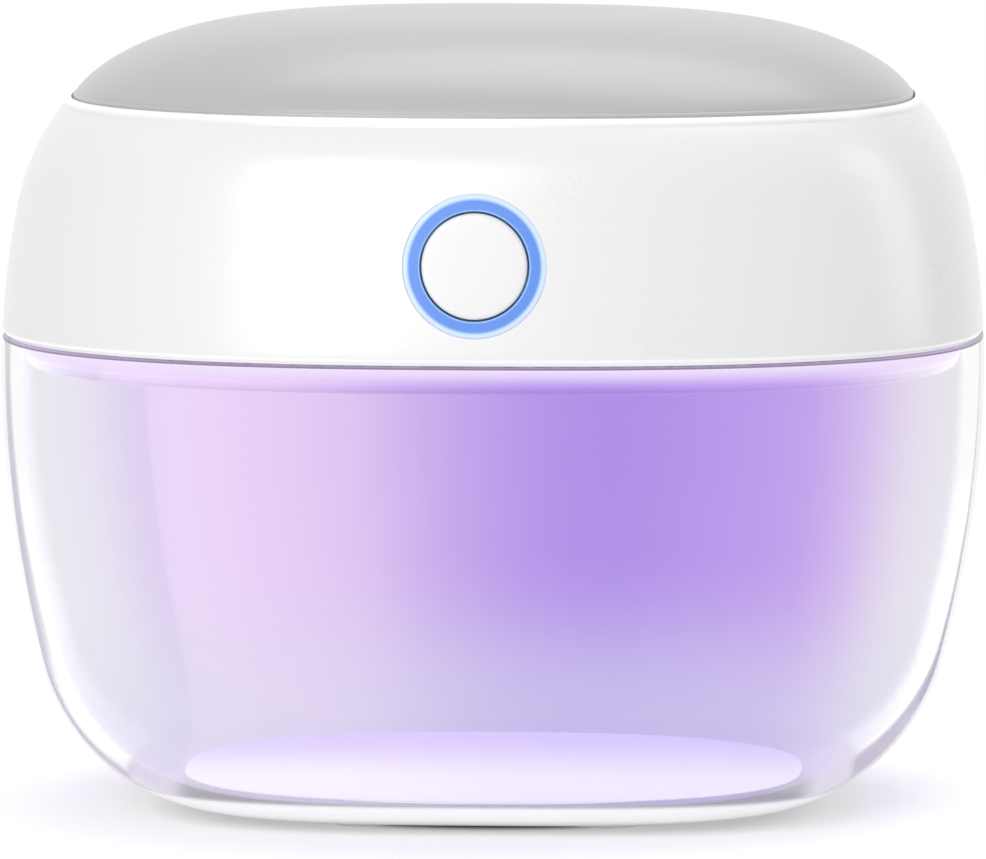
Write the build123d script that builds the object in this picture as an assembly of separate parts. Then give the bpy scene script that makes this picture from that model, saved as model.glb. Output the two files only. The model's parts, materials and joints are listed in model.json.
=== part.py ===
from build123d import *

# Portable ultraviolet sterilizer case for soothers.
#
# A clear bowl with a flat mat carries a hinged lid. The lid is a white shell with a domed cap, and
# holds the light board, the battery, the control board and a push button inside a light ring. Sizes
# are in millimetres, +Z is up and the button faces -Y. Everything is drawn about the middle of the
# case, and moved at the end so that the origin lies under the middle of the whole box, hinge included.

import os
from dataclasses import dataclass
from math import acos, cos, pi, radians, sin, sqrt

# ---- Case outline -------------------------------------------------------------------------------
HALF_X = 52.1  # half width at the widest height
HALF_Y = 41.0  # half depth at the widest height
WIDEST_Z = 46.9
PLAN_POWER = 2.5  # power of the superellipse seen from above
BASE_POWER = 3.4  # the same at the base, which is squarer
PLAN_POINTS = 40
FOOT_PROUD = 0.5
BASE_Z = FOOT_PROUD  # underside of the bowl
PARTING_Z = 50.0  # top of the bowl's rim
LID_GAP = 0.2
LID_Z = PARTING_Z + LID_GAP
BEVEL_Z = 74.45  # where the wall of the lid turns into the bevel round the cap
RIM_Z = 75.35
RIM_BEVEL = 0.75

# ---- Bowl ---------------------------------------------------------------------------------------
BOWL_WALL = 2.0
FLOOR_Z = BASE_Z + BOWL_WALL
RIM_ROUND = 0.3
MAT_THICK = 0.8
MAT_BOTTOM = (26.6, 23.4)
MAT_TOP = (32.9, 27.2)
FOOT_RADIUS = 3.5
FOOT_RECESS = 0.5
FOOT_X, FOOT_Y = 13.0, 20.0

# ---- Hinge --------------------------------------------------------------------------------------
HINGE_OUT = 2.2  # hinge axis behind the widest part of the wall
HINGE_Y = HALF_Y + HINGE_OUT
HINGE_Z = PARTING_Z + LID_GAP / 2
KNUCKLE_R = 3.0
KNUCKLE_GAP = 0.3
LID_KNUCKLE = 14.0  # length of the lid's knuckle
BOWL_KNUCKLE = 6.0  # length of each of the bowl's two knuckles
PIN_R = 1.0
PIN_FIXED_R = 1.02
PIN_RUNNING_R = 1.06
GUSSET_TIP_R = 0.6
BOWL_GUSSET_Z = 39.0
LID_GUSSET_Z = 54.4
OPEN_ANGLE = 55.0  # the stop heel meets the bowl just past this
STOP_REACH, STOP_TIP_R, STOP_CLEAR = 3.2, 0.6, 0.35
MAGNET_R, MAGNET_LONG = 1.3, 3.0

# ---- Lid shell and cap --------------------------------------------------------------------------
LID_WALL = 2.0
LID_ROUND = 0.85
CAP_HALF_X, CAP_HALF_Y = 44.45, 35.4
CAP_TOP_Z = 84.15
CAP_OUT_POWER, CAP_UP_POWER = 4.0, 1.28  # powers of the cap's upright outline
CAP_EDGE = 0.45  # upright band at the foot of the dome
CAP_CHAMFER = 0.3
CAP_WALL = 1.8
CAP_GAP = 0.25
LEDGE_Z = 72.15
LEDGE_THICK = 1.6
LEDGE_INSET = 4.0
PLUG_CLEAR = 0.3
PLUG_WALL = 1.5
PLUG_Z = 70.25
HOOK_WIDE, HOOK_OUT, HOOK_TALL = 8.0, 0.9, 1.1

# ---- Liner --------------------------------------------------------------------------------------
LINER_Z = 47.0
LINER_PLATE = 1.6
LINER_CLEAR = 0.6
LINER_SIDE = 2.6
LINER_TOP_Z = 52.2
LINER_FLANGE_Z = 50.4
FLANGE_CLEAR = 0.2
SEAL_LOW, SEAL_HIGH = 48.0, 49.6
SEAL_DEPTH, SEAL_PROUD, SEAL_SLACK = 0.9, 0.3, 0.05
CORNER_SCREW = (35.0, 23.0)
BOSS_R = 2.5
CUP_R, CUP_BORE_R, CUP_HEAD_Z, CUP_TOP_Z = 3.4, 2.4, 49.6, 51.0

# ---- Boards, light and power --------------------------------------------------------------------
BOARD_THICK = 1.2
UV_X = (-27.0, -9.0, 9.0, 27.0)
UV_SIDE, UV_TALL = 3.5, 1.1
UV_BOARD_Z = 50.5
UV_BOARD_HALF = (32.0, 6.0)
UV_SCREW_X = 18.0
LENS_R, LENS_FLANGE_R, LENS_FLANGE = 3.5, 4.3, 0.5
LENS_CLEAR = 0.1
POST_R = 2.2
MAIN_Z = 56.0
MAIN_HALF_X, MAIN_FRONT, MAIN_BACK = 30.0, -20.0, 22.0
TONGUE_HALF, TONGUE_BACK = 8.0, 34.0
MAIN_POSTS = ((-27.0, -17.0), (27.0, -17.0), (-27.0, 19.0), (27.0, 19.0))
BATTERY = (48.0, 26.0, 8.0)
BATTERY_Y = 8.0
TAPE = (44.0, 22.0, 1.0)
USB_WIDE, USB_TALL, USB_LONG, USB_MOUTH_Y = 8.94, 3.26, 7.3, 38.2
USB_WALL = 0.3
PORT_CLEAR = 0.2
PORT_DISH = (12.6, 6.8)
PORT_DISH_Y = 39.9

# ---- Button -------------------------------------------------------------------------------------
BUTTON_Z = 60.5
BUTTON_R = 5.45
BUTTON_PROUD = 0.25
BUTTON_TRAVEL = 0.5
RING_IN_R, RING_OUT_R = 5.6, 7.35
RING_PROUD = 0.06
RING_BACK_Y = -36.4
RING_FLANGE_R = 8.35
GUIDE_IN_R, GUIDE_OUT_R, GUIDE_BACK_Y = 6.6, 7.6, -30.35
BUTTON_FLANGE_R = 6.3
BUTTON_FLANGE = (-36.2, -35.0)
BUTTON_HOLLOW_R, BUTTON_FACE_Y = 4.4, -38.9
STEM_R = 1.6
SWITCH_SIDE, SWITCH_TALL = 6.0, 3.1
PLUNGER_R, PLUNGER_OUT, PLUNGER_IN = 1.7, 0.7, 0.8
BUTTON_BOARD_Y = -29.6
BUTTON_BOARD_HALF = (16.5, 8.6)
BUTTON_BOSS_X, BUTTON_BOSS_R = 13.0, 2.2
RING_LED_R, RING_LEDS = 7.1, 8

# ---- Fasteners ----------------------------------------------------------------------------------
SCREW_SHANK_R, SCREW_HEAD_R, SCREW_HEAD = 0.9, 1.7, 1.1
SCREW_HOLE_R = 0.95  # pilot in a boss
SCREW_CLEAR_R = 1.15  # hole in a board
CORNER_SHANK_R, CORNER_HEAD_R, CORNER_HEAD = 1.1, 2.0, 1.3
CORNER_HOLE_R, CORNER_CLEAR_R = 1.15, 1.3
WIRE_R = 0.6

FRAME_SHIFT = Pos(0, -(HINGE_OUT + KNUCKLE_R) / 2, 0)


@dataclass(frozen=True)
class Wall:
    """Upright outline of the case wall: a long arc from the widest height, then a corner arc."""

    half: float
    sweep: float
    corner: float
    end_z: float

    def half_at(self, z, inset=0.0):
        """Half width at height z of the wall moved inwards by inset."""
        side = 1 if self.end_z > WIDEST_Z else -1
        corner_z = self.end_z - side * self.corner
        sweep_x = self.half - self.sweep
        reach, drop = self.sweep - self.corner, corner_z - WIDEST_Z
        corner_x = sweep_x + sqrt(reach**2 - drop**2)
        sweep, corner = self.sweep - inset, self.corner - inset
        if abs(z - WIDEST_Z) <= abs(sweep * drop / reach):
            return sweep_x + sqrt(sweep**2 - (z - WIDEST_Z) ** 2)
        return corner_x + sqrt(max(corner**2 - (z - corner_z) ** 2, 0.0))


BOWL_X = Wall(HALF_X, 118.0, 21.2, BASE_Z)
BOWL_Y = Wall(HALF_Y, 290.0, 14.9, BASE_Z)
LID_X = Wall(HALF_X, 84.0, 24.0, 83.45)
LID_Y = Wall(HALF_Y, 180.0, 12.0, 78.45)


# ---- Drawing helpers ----------------------------------------------------------------------------
def plan_power(z):
    """Power of the plan outline at height z: level above the widest height, squarer below it."""
    below = max(WIDEST_Z - z, 0.0) / (WIDEST_Z - BASE_Z)
    return PLAN_POWER + (BASE_POWER - PLAN_POWER) * below**2


def oval(half_x, half_y, z, power=PLAN_POWER):
    """Level superellipse face at height z."""
    points = []
    for step in range(PLAN_POINTS):
        angle = 2 * pi * step / PLAN_POINTS
        c, s = cos(angle), sin(angle)
        x = half_x * abs(c) ** (2 / power) * (1 if c >= 0 else -1)
        y = half_y * abs(s) ** (2 / power) * (1 if s >= 0 else -1)
        points.append((x, y, z))
    return make_face(Spline(*points, periodic=True))


def oval_slab(half_x, half_y, low, high):
    """Upright-walled superellipse slab between two heights."""
    return extrude(oval(half_x, half_y, low), high - low, dir=(0, 0, 1))


def wall_body(wall_x, wall_y, low, high, inset, count, power=1.0):
    """Solid inside a pair of walls, lofted through level sections."""
    sections = []
    for step in range(count + 1):
        z = low + (high - low) * (step / count) ** power
        half_x, half_y = wall_x.half_at(z, inset), wall_y.half_at(z, inset)
        sections.append(oval(half_x, half_y, z, plan_power(z)))
    return loft(sections)


def post(x, y, low, high, radius):
    """Upright cylinder between two heights."""
    return Pos(x, y, (low + high) / 2) * Cylinder(radius, high - low)


def bar_y(x, z, front, back, radius):
    """Cylinder along Y between two depths."""
    return Pos(x, (front + back) / 2, z) * Rot(90, 0, 0) * Cylinder(radius, back - front)


def bar_x(left, right, y, z, radius):
    """Cylinder along X between two places."""
    return Pos((left + right) / 2, y, z) * Rot(0, 90, 0) * Cylinder(radius, right - left)


def block(x, y, z, size):
    """Box centred in x and y, standing on height z."""
    return Pos(x, y, z + size[2] / 2) * Box(*size)


def screw(shank_r, head_r, head, length):
    """Pan-head screw pointing down, its head standing on z = 0, with a cross recess."""
    body = post(0, 0, -length, 0.0, shank_r) + post(0, 0, 0.0, head, head_r)
    body = fillet(body.edges().group_by(Axis.Z)[-1], head * 0.45)
    slot = head_r * 1.3, head_r * 0.28, head * 0.5
    recess = Box(*slot) + Box(slot[1], slot[0], slot[2])
    return body - Pos(0, 0, head - slot[2] / 2) * recess


def joined(parts):
    """One shape that keeps its pieces as separate solids."""
    return Compound([solid for part in parts for solid in part.solids()])


# ---- Hinge --------------------------------------------------------------------------------------
def teardrop(left, right, radius, tip_y, tip_z, tip_r):
    """Drop-shaped bar along X, round the hinge axis and drawn out to a smaller round tip."""
    eye = Pos(HINGE_Y, HINGE_Z) * Circle(radius)
    outline = make_hull((eye + Pos(tip_y, tip_z) * Circle(tip_r)).edges())
    plane = Plane(origin=(left, 0, 0), x_dir=(0, 1, 0), z_dir=(1, 0, 0))
    return extrude(plane * outline, right - left)


def knuckle(left, right, wall_y, tip_z):
    """Hinge knuckle with a web that runs tangent from it to the wall at tip_z."""
    tip_y = wall_y.half_at(tip_z) - 2 * GUSSET_TIP_R
    return teardrop(left, right, KNUCKLE_R, tip_y, tip_z, GUSSET_TIP_R)


def stop_heel(left, right):
    """Heel under the lid's knuckle, which swings against the bowl at the end of the opening."""
    at_stop = acos((HINGE_OUT - STOP_CLEAR - STOP_TIP_R) / STOP_REACH)
    turn = at_stop + radians(OPEN_ANGLE)
    tip_y, tip_z = HINGE_Y - STOP_REACH * cos(turn), HINGE_Z - STOP_REACH * sin(turn)
    return teardrop(left, right, KNUCKLE_R / 2, tip_y, tip_z, STOP_TIP_R)


def bowl_knuckle_spans():
    """Left and right ends of the bowl's two knuckles."""
    inner = LID_KNUCKLE / 2 + KNUCKLE_GAP
    return ((-inner - BOWL_KNUCKLE, -inner), (inner, inner + BOWL_KNUCKLE))


def make_hinge_pin():
    reach = bowl_knuckle_spans()[1][1] - KNUCKLE_GAP
    pin = bar_x(-reach, reach, HINGE_Y, HINGE_Z, PIN_R)
    return chamfer(pin.edges().filter_by(GeomType.CIRCLE), 0.25)


# ---- Bowl and what it carries -------------------------------------------------------------------
def make_bowl():
    outer = wall_body(BOWL_X, BOWL_Y, BASE_Z, PARTING_Z, 0.0, 14, power=1.5)
    outer = fillet(outer.edges().group_by(Axis.Z)[-1], RIM_ROUND)
    cavity = wall_body(BOWL_X, BOWL_Y, FLOOR_Z, PARTING_Z, BOWL_WALL, 14, power=1.5)
    bowl = outer
    for left, right in bowl_knuckle_spans():
        bowl += knuckle(left, right, BOWL_Y, BOWL_GUSSET_Z)
    bowl -= cavity
    half = LID_KNUCKLE / 2 + KNUCKLE_GAP
    bowl -= bar_x(-half, half, HINGE_Y, HINGE_Z, KNUCKLE_R + KNUCKLE_GAP)
    bowl -= bar_x(-2 * half, 2 * half, HINGE_Y, HINGE_Z, PIN_FIXED_R)
    for x, y in foot_places():
        bowl -= post(x, y, BASE_Z, BASE_Z + FOOT_RECESS, FOOT_RADIUS + 0.1)
    return bowl - magnet_slug(MAGNET_R + 0.05)


def foot_places():
    return [(x, y) for x in (-FOOT_X, FOOT_X) for y in (-FOOT_Y, FOOT_Y)]


def make_feet():
    foot = post(0, 0, 0.0, BASE_Z + FOOT_RECESS, FOOT_RADIUS)
    foot = chamfer(foot.edges().group_by(Axis.Z)[0], 0.2)
    return joined([Pos(x, y, 0) * foot for x, y in foot_places()])


def make_floor_mat():
    low, high = oval(*MAT_BOTTOM, FLOOR_Z), oval(*MAT_TOP, FLOOR_Z + MAT_THICK)
    return loft([low, high], ruled=True)


def magnet_slug(radius):
    """Magnet of the lid switch, lying in the web of the right-hand knuckle, open to its end."""
    outer = bowl_knuckle_spans()[1][1]
    return bar_x(outer - MAGNET_LONG, outer, HINGE_Y - 2.0, HINGE_Z - 5.0, radius)


# ---- Lid shell ----------------------------------------------------------------------------------
def lid_outside(inset=0.0):
    """Lid body from its lower edge to the bevel, moved inwards by inset."""
    return wall_body(LID_X, LID_Y, LID_Z, BEVEL_Z, inset, 10)


def corner_places():
    return [(x, y) for x in (-CORNER_SCREW[0], CORNER_SCREW[0])
            for y in (-CORNER_SCREW[1], CORNER_SCREW[1])]


def port_cutter(size, front, back):
    """Rounded slot along Y at the height of the charging socket."""
    z = MAIN_Z + BOARD_THICK + USB_TALL / 2
    plane = Plane(origin=(0, front, z), x_dir=(1, 0, 0), z_dir=(0, 1, 0))
    return extrude(plane * SlotOverall(*size), back - front)


def make_lid_shell():
    outer = lid_outside()
    outer = fillet(outer.edges().group_by(Axis.Z)[0], LID_ROUND)
    top_x, top_y = LID_X.half_at(BEVEL_Z), LID_Y.half_at(BEVEL_Z)
    bevel = loft([oval(top_x, top_y, BEVEL_Z),
                  oval(top_x - RIM_BEVEL, top_y - RIM_BEVEL, RIM_Z)], ruled=True)
    ends = -LID_KNUCKLE / 2, LID_KNUCKLE / 2
    shell = outer + bevel + knuckle(*ends, LID_Y, LID_GUSSET_Z) + stop_heel(*ends)
    shell -= wall_body(LID_X, LID_Y, LID_Z, LEDGE_Z, LID_WALL, 10)
    open_x, open_y = CAP_HALF_X - LEDGE_INSET, CAP_HALF_Y - LEDGE_INSET
    shell -= oval_slab(open_x, open_y, LEDGE_Z - 1, RIM_Z + 1)
    shell -= oval_slab(CAP_HALF_X + CAP_GAP, CAP_HALF_Y + CAP_GAP, LEDGE_Z + LEDGE_THICK, RIM_Z + 1)

    for x, y in corner_places():
        shell += post(x, y, CUP_TOP_Z + 0.05, LEDGE_Z + 0.5, BOSS_R)
        shell -= post(x, y, CUP_TOP_Z, CUP_TOP_Z + 9.0, CORNER_HOLE_R)
    for x in (-BUTTON_BOSS_X, BUTTON_BOSS_X):
        wall_in = LID_Y.half_at(BUTTON_Z, LID_WALL)
        shell += bar_y(x, BUTTON_Z, -wall_in - 0.5, BUTTON_BOARD_Y, BUTTON_BOSS_R)
        shell -= bar_y(x, BUTTON_Z, BUTTON_BOARD_Y - 6.0, BUTTON_BOARD_Y, SCREW_HOLE_R)
    shell -= bar_y(0, BUTTON_Z, -HALF_Y - 1, RING_BACK_Y, RING_OUT_R + 0.1)

    shell -= port_cutter((USB_WIDE + 2 * PORT_CLEAR, USB_TALL + 2 * PORT_CLEAR), TONGUE_BACK, HINGE_Y)
    shell -= port_cutter(PORT_DISH, PORT_DISH_Y, HINGE_Y)
    for left, right in bowl_knuckle_spans():
        shell -= bar_x(left - KNUCKLE_GAP, right + KNUCKLE_GAP, HINGE_Y, HINGE_Z,
                       KNUCKLE_R + KNUCKLE_GAP)
    return shell - bar_x(-LID_KNUCKLE, LID_KNUCKLE, HINGE_Y, HINGE_Z, PIN_RUNNING_R)


# ---- Domed cap ----------------------------------------------------------------------------------
def dome(inset):
    """Dome above the foot of the cap, moved inwards by inset."""
    foot_z = RIM_Z + CAP_EDGE
    half_x, half_y = CAP_HALF_X - CAP_CHAMFER - inset, CAP_HALF_Y - CAP_CHAMFER - inset
    rise = CAP_TOP_Z - foot_z - inset
    sections = []
    for step in range(11):
        angle = radians(86.5) * step / 10
        out, up = cos(angle) ** (2 / CAP_OUT_POWER), sin(angle) ** (2 / CAP_UP_POWER)
        sections.append(oval(half_x * out, half_y * out, foot_z + rise * up))
    return loft(sections)


def make_dome_cap():
    seat_z = LEDGE_Z + LEDGE_THICK
    foot_z = RIM_Z + CAP_EDGE
    band = oval_slab(CAP_HALF_X, CAP_HALF_Y, seat_z, foot_z - CAP_CHAMFER)
    slope = loft([oval(CAP_HALF_X, CAP_HALF_Y, foot_z - CAP_CHAMFER),
                  oval(CAP_HALF_X - CAP_CHAMFER, CAP_HALF_Y - CAP_CHAMFER, foot_z)], ruled=True)
    cap = band + slope + dome(0.0)
    hollow_x, hollow_y = CAP_HALF_X - CAP_CHAMFER - CAP_WALL, CAP_HALF_Y - CAP_CHAMFER - CAP_WALL
    cap -= oval_slab(hollow_x, hollow_y, seat_z, foot_z) + dome(CAP_WALL)

    out_x = CAP_HALF_X - LEDGE_INSET - PLUG_CLEAR
    out_y = CAP_HALF_Y - LEDGE_INSET - PLUG_CLEAR
    plug = oval_slab(out_x, out_y, PLUG_Z, CAP_TOP_Z)
    plug -= oval_slab(out_x - PLUG_WALL, out_y - PLUG_WALL, PLUG_Z, CAP_TOP_Z)
    cap += plug & (oval_slab(hollow_x, hollow_y, PLUG_Z, foot_z) + dome(CAP_WALL / 2))
    top = LEDGE_Z - 0.15
    for x, y, turn in ((out_x, 0, 0), (-out_x, 0, 180), (0, out_y, 90), (0, -out_y, 270)):
        profile = Polyline((-0.8, top), (HOOK_OUT, top), (0.0, top - HOOK_TALL), (-0.8, top - HOOK_TALL),
                           close=True)
        plane = Plane(origin=(0, HOOK_WIDE / 2, 0), x_dir=(1, 0, 0), z_dir=(0, -1, 0))
        cap += Pos(x, y, 0) * Rot(0, 0, turn) * extrude(plane * make_face(profile), HOOK_WIDE)
    return cap


# ---- Liner, seal and light windows --------------------------------------------------------------
def liner_halves():
    """Half sizes of the plug that enters the bowl's mouth."""
    return (BOWL_X.half_at(PARTING_Z, BOWL_WALL) - LINER_CLEAR,
            BOWL_Y.half_at(PARTING_Z, BOWL_WALL) - LINER_CLEAR)


def make_lid_liner():
    plug_x, plug_y = liner_halves()
    flange_x = LID_X.half_at(LINER_TOP_Z, LID_WALL) - FLANGE_CLEAR
    flange_y = LID_Y.half_at(LINER_TOP_Z, LID_WALL) - FLANGE_CLEAR
    tray = oval_slab(plug_x, plug_y, LINER_Z, LINER_FLANGE_Z)
    tray = fillet(tray.edges().group_by(Axis.Z)[0], 0.8)
    tray += oval_slab(flange_x, flange_y, LINER_FLANGE_Z, LINER_TOP_Z)
    plate_z = LINER_Z + LINER_PLATE
    tray -= oval_slab(plug_x - LINER_SIDE, plug_y - LINER_SIDE, plate_z, LINER_TOP_Z)
    groove = oval_slab(plug_x + 1, plug_y + 1, SEAL_LOW, SEAL_HIGH)
    tray -= groove - oval_slab(plug_x - SEAL_DEPTH, plug_y - SEAL_DEPTH, SEAL_LOW, SEAL_HIGH)
    for x, y in corner_places():
        tray += post(x, y, plate_z - 0.5, CUP_TOP_Z, CUP_R) & oval_slab(
            plug_x - 0.5 * LINER_SIDE, plug_y - 0.5 * LINER_SIDE, LINER_Z, LINER_TOP_Z)
        tray -= post(x, y, LINER_Z, CUP_HEAD_Z, CUP_BORE_R)
        tray -= post(x, y, CUP_HEAD_Z, CUP_TOP_Z, CORNER_CLEAR_R)
    for x in UV_X:
        tray -= post(x, 0, LINER_Z, plate_z, LENS_R + LENS_CLEAR)
    for x, y in MAIN_POSTS:
        tray += post(x, y, plate_z - 0.5, MAIN_Z, POST_R)
        tray -= post(x, y, MAIN_Z - 5.0, MAIN_Z, SCREW_HOLE_R)
    for x in (-UV_SCREW_X, UV_SCREW_X):
        tray += post(x, 0, plate_z - 0.5, UV_BOARD_Z, POST_R)
        tray -= post(x, 0, plate_z - 0.4, UV_BOARD_Z, SCREW_HOLE_R)
    return tray


def make_lid_seal():
    plug_x, plug_y = liner_halves()
    low, high = SEAL_LOW + SEAL_SLACK, SEAL_HIGH - SEAL_SLACK
    middle = (low + high) / 2
    root = SEAL_DEPTH - SEAL_SLACK
    lip = 0.2
    ring = loft([oval(plug_x - lip, plug_y - lip, low),
                 oval(plug_x + SEAL_PROUD, plug_y + SEAL_PROUD, middle)], ruled=True)
    ring += loft([oval(plug_x + SEAL_PROUD, plug_y + SEAL_PROUD, middle),
                  oval(plug_x - lip, plug_y - lip, high)], ruled=True)
    return ring - oval_slab(plug_x - root, plug_y - root, low, high)


def make_uv_lenses():
    plate_z = LINER_Z + LINER_PLATE
    lens = post(0, 0, LINER_Z + 0.2, plate_z, LENS_R) + post(0, 0, plate_z, plate_z + LENS_FLANGE, LENS_FLANGE_R)
    lens = fillet(lens.edges().group_by(Axis.Z)[0], 0.3)
    return joined([Pos(x, 0, 0) * lens for x in UV_X])


# ---- Boards -------------------------------------------------------------------------------------
def make_uv_board():
    board = block(0, 0, UV_BOARD_Z, (2 * UV_BOARD_HALF[0], 2 * UV_BOARD_HALF[1], BOARD_THICK))
    board = fillet(board.edges().filter_by(Axis.Z), 1.5)
    for x in (-UV_SCREW_X, UV_SCREW_X):
        board -= post(x, 0, UV_BOARD_Z, UV_BOARD_Z + BOARD_THICK, SCREW_CLEAR_R)
    return board


def make_uv_leds():
    """Surface-mounted emitters, each a square body with a round window under the board."""
    body = block(0, 0, UV_BOARD_Z - UV_TALL, (UV_SIDE, UV_SIDE, UV_TALL))
    body -= post(0, 0, UV_BOARD_Z - UV_TALL, UV_BOARD_Z - UV_TALL + 0.4, 1.3)
    return joined([Pos(x, 0, 0) * body for x in UV_X])


def make_main_board():
    depth = MAIN_BACK - MAIN_FRONT
    board = block(0, (MAIN_BACK + MAIN_FRONT) / 2, MAIN_Z, (2 * MAIN_HALF_X, depth, BOARD_THICK))
    board = fillet(board.edges().filter_by(Axis.Z), 2.0)
    tongue = TONGUE_BACK - MAIN_BACK + 1.0
    board += block(0, TONGUE_BACK - tongue / 2, MAIN_Z, (2 * TONGUE_HALF, tongue, BOARD_THICK))
    for x, y in MAIN_POSTS:
        board -= post(x, y, MAIN_Z, MAIN_Z + BOARD_THICK, SCREW_CLEAR_R)
    return board


def make_board_parts():
    """Controller, charger, coil, two sockets and two rows of chip capacitors on the main board."""
    top = MAIN_Z + BOARD_THICK
    parts = [block(-14, -11, top, (7, 7, 1.0)), block(-4, -10, top, (4, 4, 0.9)),
             block(0, -17.5, top, (8, 4, 1.6)), block(18, -11, top, (6.5, 4.5, 3.0))]
    coil = post(6, -10, top, top + 2.4, 2.8)
    parts.append(fillet(coil.edges().group_by(Axis.Z)[-1], 0.5))
    for step in range(5):
        parts.append(block(-22 + 2.2 * step, -6.6, top, (1.0, 0.6, 0.5)))
        parts.append(block(-9 + 2.2 * step, -13.8, top, (1.0, 0.6, 0.5)))
    return joined(parts)


def make_hall_sensor():
    return block(6.0, 31.0, MAIN_Z - 1.1, (3.0, 1.6, 1.1))


def make_usb_socket():
    """Charging socket: a rounded tube with a blade inside, standing on the rear tongue."""
    back = USB_MOUTH_Y
    tube = port_cutter((USB_WIDE, USB_TALL), back - USB_LONG, back)
    hollow = (USB_WIDE - 2 * USB_WALL, USB_TALL - 2 * USB_WALL)
    tube -= port_cutter(hollow, back - USB_LONG + 1.0, back)
    blade = Box(6.6, 5.6, 0.7)
    z = MAIN_Z + BOARD_THICK + USB_TALL / 2
    return tube + Pos(0, back - USB_LONG + 0.9 + 2.8, z) * blade


def make_battery():
    z = MAIN_Z + BOARD_THICK + TAPE[2]
    cell = block(0, BATTERY_Y, z, BATTERY)
    cell = fillet(cell.edges().filter_by(Axis.Y), 2.2)
    return fillet(cell.edges().group_by(Axis.Y)[0] + cell.edges().group_by(Axis.Y)[-1], 0.8)


def make_battery_tape():
    return block(0, BATTERY_Y, MAIN_Z + BOARD_THICK, TAPE)


def wire(points, radius):
    """Round wire along straight runs joined by tangent arcs."""
    path = FilletPolyline(*points, radius=radius)
    start = Plane(origin=path @ 0, z_dir=path % 0)
    return sweep(start * Circle(WIRE_R), path=path)


def make_battery_lead():
    """Two wires from the front of the cell into the top of its socket on the board."""
    front = BATTERY_Y - BATTERY[1] / 2
    high, socket = MAIN_Z + 6.5, MAIN_Z + BOARD_THICK + 3.0
    return joined([wire([(x, front, high), (x, -11, high), (x, -11, socket)], 1.6)
                   for x in (17.2, 18.8)])


def make_uv_lead():
    """Two wires from under the main board to the light board."""
    top, low = MAIN_Z, UV_BOARD_Z + BOARD_THICK
    middle = (top + low) / 2
    return joined([wire([(x, -9, top), (x, -9, middle), (x, -3, middle), (x, -3, low)], 1.1)
                   for x in (23.0, 24.6)])


def make_button_ribbon():
    """Flat ribbon from the back of the button board to the socket on the main board."""
    back = BUTTON_BOARD_Y + BOARD_THICK
    low_z = MAIN_Z - 2.0
    socket_y, socket_z = -19.5, MAIN_Z + BOARD_THICK + 0.8
    route = FilletPolyline((back, low_z), (back + 3.2, low_z), (back + 5.2, socket_z),
                           (socket_y, socket_z), radius=1.2)
    strip = trace(route, line_width=0.3)
    plane = Plane(origin=(-3.0, 0, 0), x_dir=(0, 1, 0), z_dir=(1, 0, 0))
    return extrude(plane * strip, 6.0)


# ---- Button -------------------------------------------------------------------------------------
def make_button_ring():
    """Light ring, flush with the curved wall, with a flange and a tube that faces the lamps."""
    front = bar_y(0, BUTTON_Z, -HALF_Y - 1, RING_BACK_Y, RING_OUT_R) & lid_outside(-RING_PROUD)
    flange = bar_y(0, BUTTON_Z, -HALF_Y - 1, RING_BACK_Y, RING_FLANGE_R) & lid_outside(LID_WALL + 0.1)
    guide = bar_y(0, BUTTON_Z, RING_BACK_Y - 0.5, GUIDE_BACK_Y, GUIDE_OUT_R)
    guide -= bar_y(0, BUTTON_Z, RING_BACK_Y, GUIDE_BACK_Y, GUIDE_IN_R)
    return front + flange + guide - bar_y(0, BUTTON_Z, -HALF_Y - 1, RING_BACK_Y, RING_IN_R)


def make_button_cap():
    """Push button: a cup with a rounded face that follows the wall, a stop flange and a stem."""
    cap = bar_y(0, BUTTON_Z, -HALF_Y - 1, BUTTON_FLANGE[1], BUTTON_R) & lid_outside(-BUTTON_PROUD)
    cap = fillet(cap.edges().group_by(Axis.Y)[0], 0.3)
    cap += bar_y(0, BUTTON_Z, *BUTTON_FLANGE, BUTTON_FLANGE_R)
    cap -= bar_y(0, BUTTON_Z, BUTTON_FACE_Y, BUTTON_FLANGE[1], BUTTON_HOLLOW_R)
    tip = BUTTON_BOARD_Y - SWITCH_TALL - PLUNGER_OUT - 0.05
    return cap + bar_y(0, BUTTON_Z, BUTTON_FACE_Y - 0.2, tip, STEM_R)


def make_button_board():
    x, z = BUTTON_BOARD_HALF
    board = Pos(0, BUTTON_BOARD_Y + BOARD_THICK / 2, BUTTON_Z) * Box(2 * x, BOARD_THICK, 2 * z)
    board = fillet(board.edges().filter_by(Axis.Y), 2.0)
    for hole in (-BUTTON_BOSS_X, BUTTON_BOSS_X):
        board -= bar_y(hole, BUTTON_Z, BUTTON_BOARD_Y, BUTTON_BOARD_Y + BOARD_THICK, SCREW_CLEAR_R)
    return board


def make_tact_switch():
    front = BUTTON_BOARD_Y - SWITCH_TALL
    body = Pos(0, (front + BUTTON_BOARD_Y) / 2, BUTTON_Z) * Box(SWITCH_SIDE, SWITCH_TALL, SWITCH_SIDE)
    body = fillet(body.edges().filter_by(Axis.Y), 0.5)
    return body - bar_y(0, BUTTON_Z, front, front + PLUNGER_IN + BUTTON_TRAVEL + 0.2, PLUNGER_R + 0.1)


def make_switch_plunger():
    front = BUTTON_BOARD_Y - SWITCH_TALL
    plunger = bar_y(0, BUTTON_Z, front - PLUNGER_OUT, front + PLUNGER_IN, PLUNGER_R)
    return fillet(plunger.edges().group_by(Axis.Y)[0], 0.3)


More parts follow.
